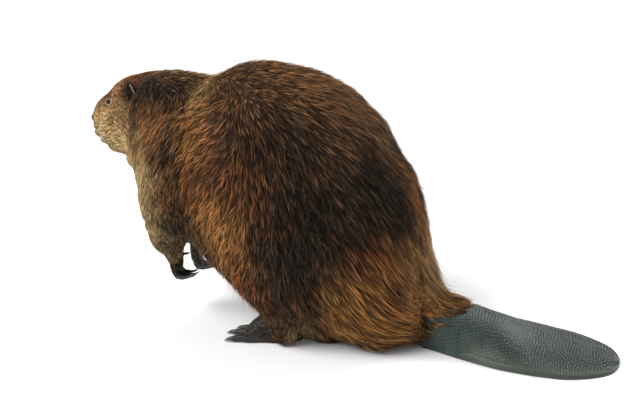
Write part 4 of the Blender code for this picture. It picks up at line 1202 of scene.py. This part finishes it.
class BEAVER_OT_coat(bpy.types.Operator):
    """Grows the coat's tufts over the skin, hands and feet"""
    bl_idname = "beaver.coat"
    bl_label = "Coat"

    def execute(self, context):
        coat = context.scene.beaver_coat
        self.draw = np.random.default_rng(coat.seed)
        self.made = attribute_material("guard_hair", "coat_colour", 0.6, 0.14)
        tufts = coat.tufts
        names = ("skin", "tail_blade", "hand_left", "hand_right", "foot_left", "foot_right")
        skin, *bare_parts = (bpy.data.objects[name] for name in names)
        self.cover(skin, Ground([skin, *bare_parts]), tufts, hair_length, fur_weight, lie_at, markings)
        for part in bare_parts[1:]:
            few = tufts // (36 if "foot" in part.name else 60)
            self.cover(part, Ground([part]), few, paw_length, paw_weight, paw_lie, paw_tone)
        for word, side in SIDES:
            ear = bpy.data.objects["ear_shell_" + word]
            opening, _, up = ear_axes(side)
            self.cover(
                ear, Ground([ear]), tufts // 90,
                lambda p: np.full(len(p), 0.0075),
                lambda p, n: ramp(n @ opening, -0.05, -0.45),
                lambda p, n: unit(up - n * (n @ up)[:, None] + 0.01 * UP),
                lambda p: np.tile(palette()["umber"] * 1.5, (len(p), 1)),
            )
        thin_out(skin, coat.thinned)
        return {"FINISHED"}

    def cover(self, obj, ground, tufts, length_at, weight_at, lie, tone_at):
        """Scatters tufts over one object and leans each along the path of its nearest guide."""
        draw = self.draw
        points, normals = coords(obj), vertex_normals(obj)
        faces, loops = triangles(obj)
        uv = read(obj.data.uv_layers["OFBake"].data, "uv", 2)
        middles, facing = points[faces].mean(1), unit(normals[faces].mean(1))
        length = length_at(middles)
        stand = weight_at(middles, facing)
        guides, density = int(tufts / 3.3), stand / (length + 0.01) ** 1.2
        spots, shares = scatter(draw, points, faces, density, guides)
        starts = blend_corners(points, faces[spots], shares)
        facing = unit(blend_corners(normals, faces[spots], shares))
        paths, ways = ground.walk(starts, facing, length_at(starts), 4, lie)
        density = stand / (length * self.width(length)) ** 0.9
        spots, shares = scatter(draw, points, faces, density, tufts)
        roots = blend_corners(points, faces[spots], shares)
        uvs = blend_corners(uv, loops[spots], shares)
        owner, self.edge = nearest_guides(starts, roots)
        self.grow(obj, roots, uvs, paths[owner], ways[owner], starts[owner], owner, length_at, tone_at)

    def width(self, length):
        """Width of tufts of that length."""
        return bpy.context.scene.beaver_coat.width * (0.52 + 0.48 * ramp(length, 0.004, 0.026))

    def grow(self, obj, roots, uvs, paths, ways, starts, owner, length_at, tone_at):
        """Makes the tufts: some long guard hairs, some short ones under the others, and a few strays."""
        coat = bpy.context.scene.beaver_coat
        draw = self.draw
        count = len(roots)
        long = length_at(roots)
        body = ramp(long, 0.006, 0.03)
        kind = draw.random(count)
        guard, under, stray, wild = kind > 0.74, kind < 0.3, kind > 0.94, kind > 0.975

        def by_kind(of_guard, of_under):
            return np.where(guard, of_guard, np.where(under, of_under, 1.0))

        wide = self.width(long) * draw.uniform(0.6, 1.2, count) * by_kind(0.72, 1.3)
        wide *= np.where(stray, 0.7, 1.0)
        reach = draw.uniform(0.72, 1.08, count) * by_kind(1.08, 0.75)
        lift = coat.lift * (0.12 + 0.88 * body) * draw.uniform(0.45, 1.15, count) * by_kind(1.25, 0.45)
        lift *= (1.2 - 0.55 * self.edge) * (1 + 0.5 * stubble(roots))
        lift *= np.where(wild, 2.7, np.where(stray, 1.9, 1.0))
        outer = np.maximum(ramp(np.abs(roots[:, 1]), 0.105, 0.13), ramp(roots[:, 2], 0.37, 0.39))
        lift *= (1 - 0.5 * stray * outer) * (1 - 0.5 * ramp(roots[:, 2], 0.045, 0.02))
        loose = tousle(roots)
        sway = draw.normal(0, 1, owner.max() + 1)[owner] * loose + draw.normal(0, 0.4, count) * loose
        clump = coat.clump * (0.5 + 0.5 * body) * draw.uniform(0.75, 1.15, count) * by_kind(1.0, 0.4)
        spine, across, raised = np.empty((3, count, 3, 3))
        index = np.arange(count)
        for k, t in enumerate((0.0, 0.48, 1.0)):
            s = np.clip(t * reach, 0, 1) * 4
            low = np.minimum(s.astype(int), 3)
            here, there = paths[index, low], paths[index, low + 1]
            up = unit(mix(ways[index, low], ways[index, low + 1], s - low))
            side = unit(np.cross(unit(there - here + 1e-9), up))
            beyond = np.maximum(t * reach - 1, 0)[:, None]
            place = mix(here, there, s - low) + (paths[:, 4] - paths[:, 3]) * 4 * beyond
            pull = np.minimum(clump * t ** 1.3, 0.92)
            rise = -0.0012 * (1 - t) ** 4 + lift * (1.5 * t - 0.5 * t * t)
            bend = sway * long * t * (0.7 + 0.3 * t)
            place = place + (roots - starts) * (1 - pull)[:, None]
            spine[:, k] = place + up * rise[:, None] + side * bend[:, None]
            across[:, k] = side
            raised[:, k] = up
        spine[..., 2] = np.maximum(spine[..., 2], 2 * FLOOR_GAP)
        shades = self.shades(roots, owner, tone_at(roots), guard, under)
        for name, slot, picked in self.groups(obj, roots):
            if len(picked):
                part = tuft_mesh(name, *(v[picked] for v in (spine, across, raised, wide, shades, uvs)))
                finish_piece(part, self.made, slot)

    def shades(self, roots, owner, tone, guard, under):
        """Colours along each tuft: dark roots, paler tips, pale guard hairs and a dark undercoat, with
        painted shade deep in the coat and on the clumps' edges, and painted light on their middles.
        """
        draw = self.draw
        light = np.where(draw.random(owner.max() + 1) < 0.46, 0.78, -0.78)
        clumps = np.exp(light + draw.normal(0, 0.3, len(light)))[owner]
        # Painted light and shade: tufts at the middle of a clump are painted brighter and those at its edges
        # darker
        centre = 1.9 - 1.7 * self.edge ** 1.3
        tone = tone * (draw.uniform(0.52, 1.48, len(roots)) * clumps * centre)[:, None]
        hue = 0.08 * draw.normal(0, 1, len(light))[owner, None] * np.array((1.0, 0.0, -1.0))
        face = head_share(roots)
        grey = 0.045 + 0.11 * ramp(roots[:, 0], -0.18, -0.215) * (1 - face)
        tone = tone * (1 + hue)
        tone = np.where(guard[:, None], tone * 1.3 + palette()["pale"] * grey[:, None], tone)
        # Painted shade: the undercoat and the roots are darkened partly for the shade deep in the coat,
        # besides their own darker colour
        tone = np.where(under[:, None], tone * 0.18, tone)
        ends = np.array((0.08, 0.6, 2.2))
        shade = tone[:, None, :] * mix(ends, 0.95, 0.18 * face)[:, :, None]
        peak = np.maximum(shade.max(2, keepdims=True), 1e-6)
        return shade * (0.85 * (1 - np.exp(-peak / 0.85)) / peak)

    def groups(self, obj, roots):
        """Splits the tufts by side and by place along the body, each piece under the limit."""
        if obj.name != "skin":
            slot = "ear_skin" if obj.name.startswith("ear") else "paw_skin"
            return [("hair_" + obj.name, slot, np.arange(len(roots)))]
        head = head_share(roots) > 0.5
        # The turned head's middle lies 3 cm to the right
        middle = np.where(roots[:, 0] < -0.28, 0.03, 0.0)
        out = []
        for word, side in SIDES:
            here = (roots[:, 1] - middle) * side > 0
            for part, slot, chosen in (("head", "head_fur", here & head), ("body", "body_fur", here & ~head)):
                order = np.argsort(roots[:, 0] + np.where(chosen, 0, 10))[: chosen.sum()]
                pieces = max(1, math.ceil(len(order) / MOST_TUFTS))
                for k, picked in enumerate(np.array_split(order, pieces), 1):
                    out.append((f"coat_{part}_{word}_{k}", slot, np.sort(picked)))
        return out


class BEAVER_OT_stage(bpy.types.Operator):
    """Sets the floor, the soft light and the camera"""
    bl_idname = "beaver.stage"
    bl_label = "Stage"

    def execute(self, context):
        stage = context.scene.beaver_stage
        bpy.ops.mesh.primitive_plane_add(size=16.0, location=(0, 0, 0))
        floor = context.object
        floor.name = "floor"
        floor.data.materials.append(material("floor_paint", 0.75, 0.2, (0.93, 0.93, 0.93))[0])
        world = bpy.data.worlds.new("studio")
        context.scene.world = world
        context.scene.view_settings.view_transform = "Standard"
        world.use_nodes = True
        background = world.node_tree.nodes["Background"]
        background.inputs["Color"].default_value = (1.0, 1.0, 1.0, 1)
        background.inputs["Strength"].default_value = stage.world
        for name, way, spread in (
            ("key", (-0.55, -0.5, 0.85), 30),
            ("rim", (0.55, 0.78, 0.75), 35),
            ("fill", (-1.0, -0.3, 0.12), 50),
        ):
            light = bpy.data.lights.new(name, "SUN")
            light.angle = math.radians(spread)
            light.energy = getattr(stage, name)
            add_object(name, light).rotation_euler = (-Vector(way)).to_track_quat("-Z", "Y").to_euler()
        a, e = math.radians(stage.azimuth), math.radians(stage.elevation)
        back = Vector((math.sin(a) * math.cos(e), -math.cos(a) * math.cos(e), math.sin(e)))
        camera = add_object("camera", bpy.data.cameras.new("camera"))
        camera.location = Vector(stage.target) + back * stage.distance
        camera.rotation_euler = (-back).to_track_quat("-Z", "Y").to_euler()
        camera.data.lens = stage.lens
        camera.data.sensor_width = 36.0
        context.scene.camera = camera
        return {"FINISHED"}


class BEAVER_PT_panel(bpy.types.Panel):
    """Lists the beaver's settings and steps in the sidebar"""
    bl_idname = "BEAVER_PT_panel"
    bl_label = "Beaver"
    bl_space_type = "VIEW_3D"
    bl_region_type = "UI"
    bl_category = "Beaver"

    def draw(self, context):
        for name in SETTINGS:
            group = getattr(context.scene, name)
            for key in type(group).__annotations__:
                self.layout.prop(group, key)
        for step in STEPS:
            self.layout.operator(step.bl_idname)


SETTINGS = {
    "beaver_coat": BeaverCoat,
    "beaver_colours": BeaverColours,
    "beaver_tail": BeaverTail,
    "beaver_stage": BeaverStage,
}
STEPS = (BEAVER_OT_stage, BEAVER_OT_skin, BEAVER_OT_limbs, BEAVER_OT_tail, BEAVER_OT_face,
         BEAVER_OT_coat)


def register():
    for group in SETTINGS.values():
        bpy.utils.register_class(group)
    for step in (*STEPS, BEAVER_PT_panel):
        bpy.utils.register_class(step)
    for name, group in SETTINGS.items():
        setattr(bpy.types.Scene, name, PointerProperty(type=group))


def unregister():
    for name in SETTINGS:
        delattr(bpy.types.Scene, name)
    for step in (BEAVER_PT_panel, *reversed(STEPS)):
        bpy.utils.unregister_class(step)
    for group in reversed(list(SETTINGS.values())):
        bpy.utils.unregister_class(group)


def main():
    register()
    for step in STEPS:
        family, name = step.bl_idname.split(".")
        getattr(getattr(bpy.ops, family), name)()


if __name__ == "__main__":
    main()
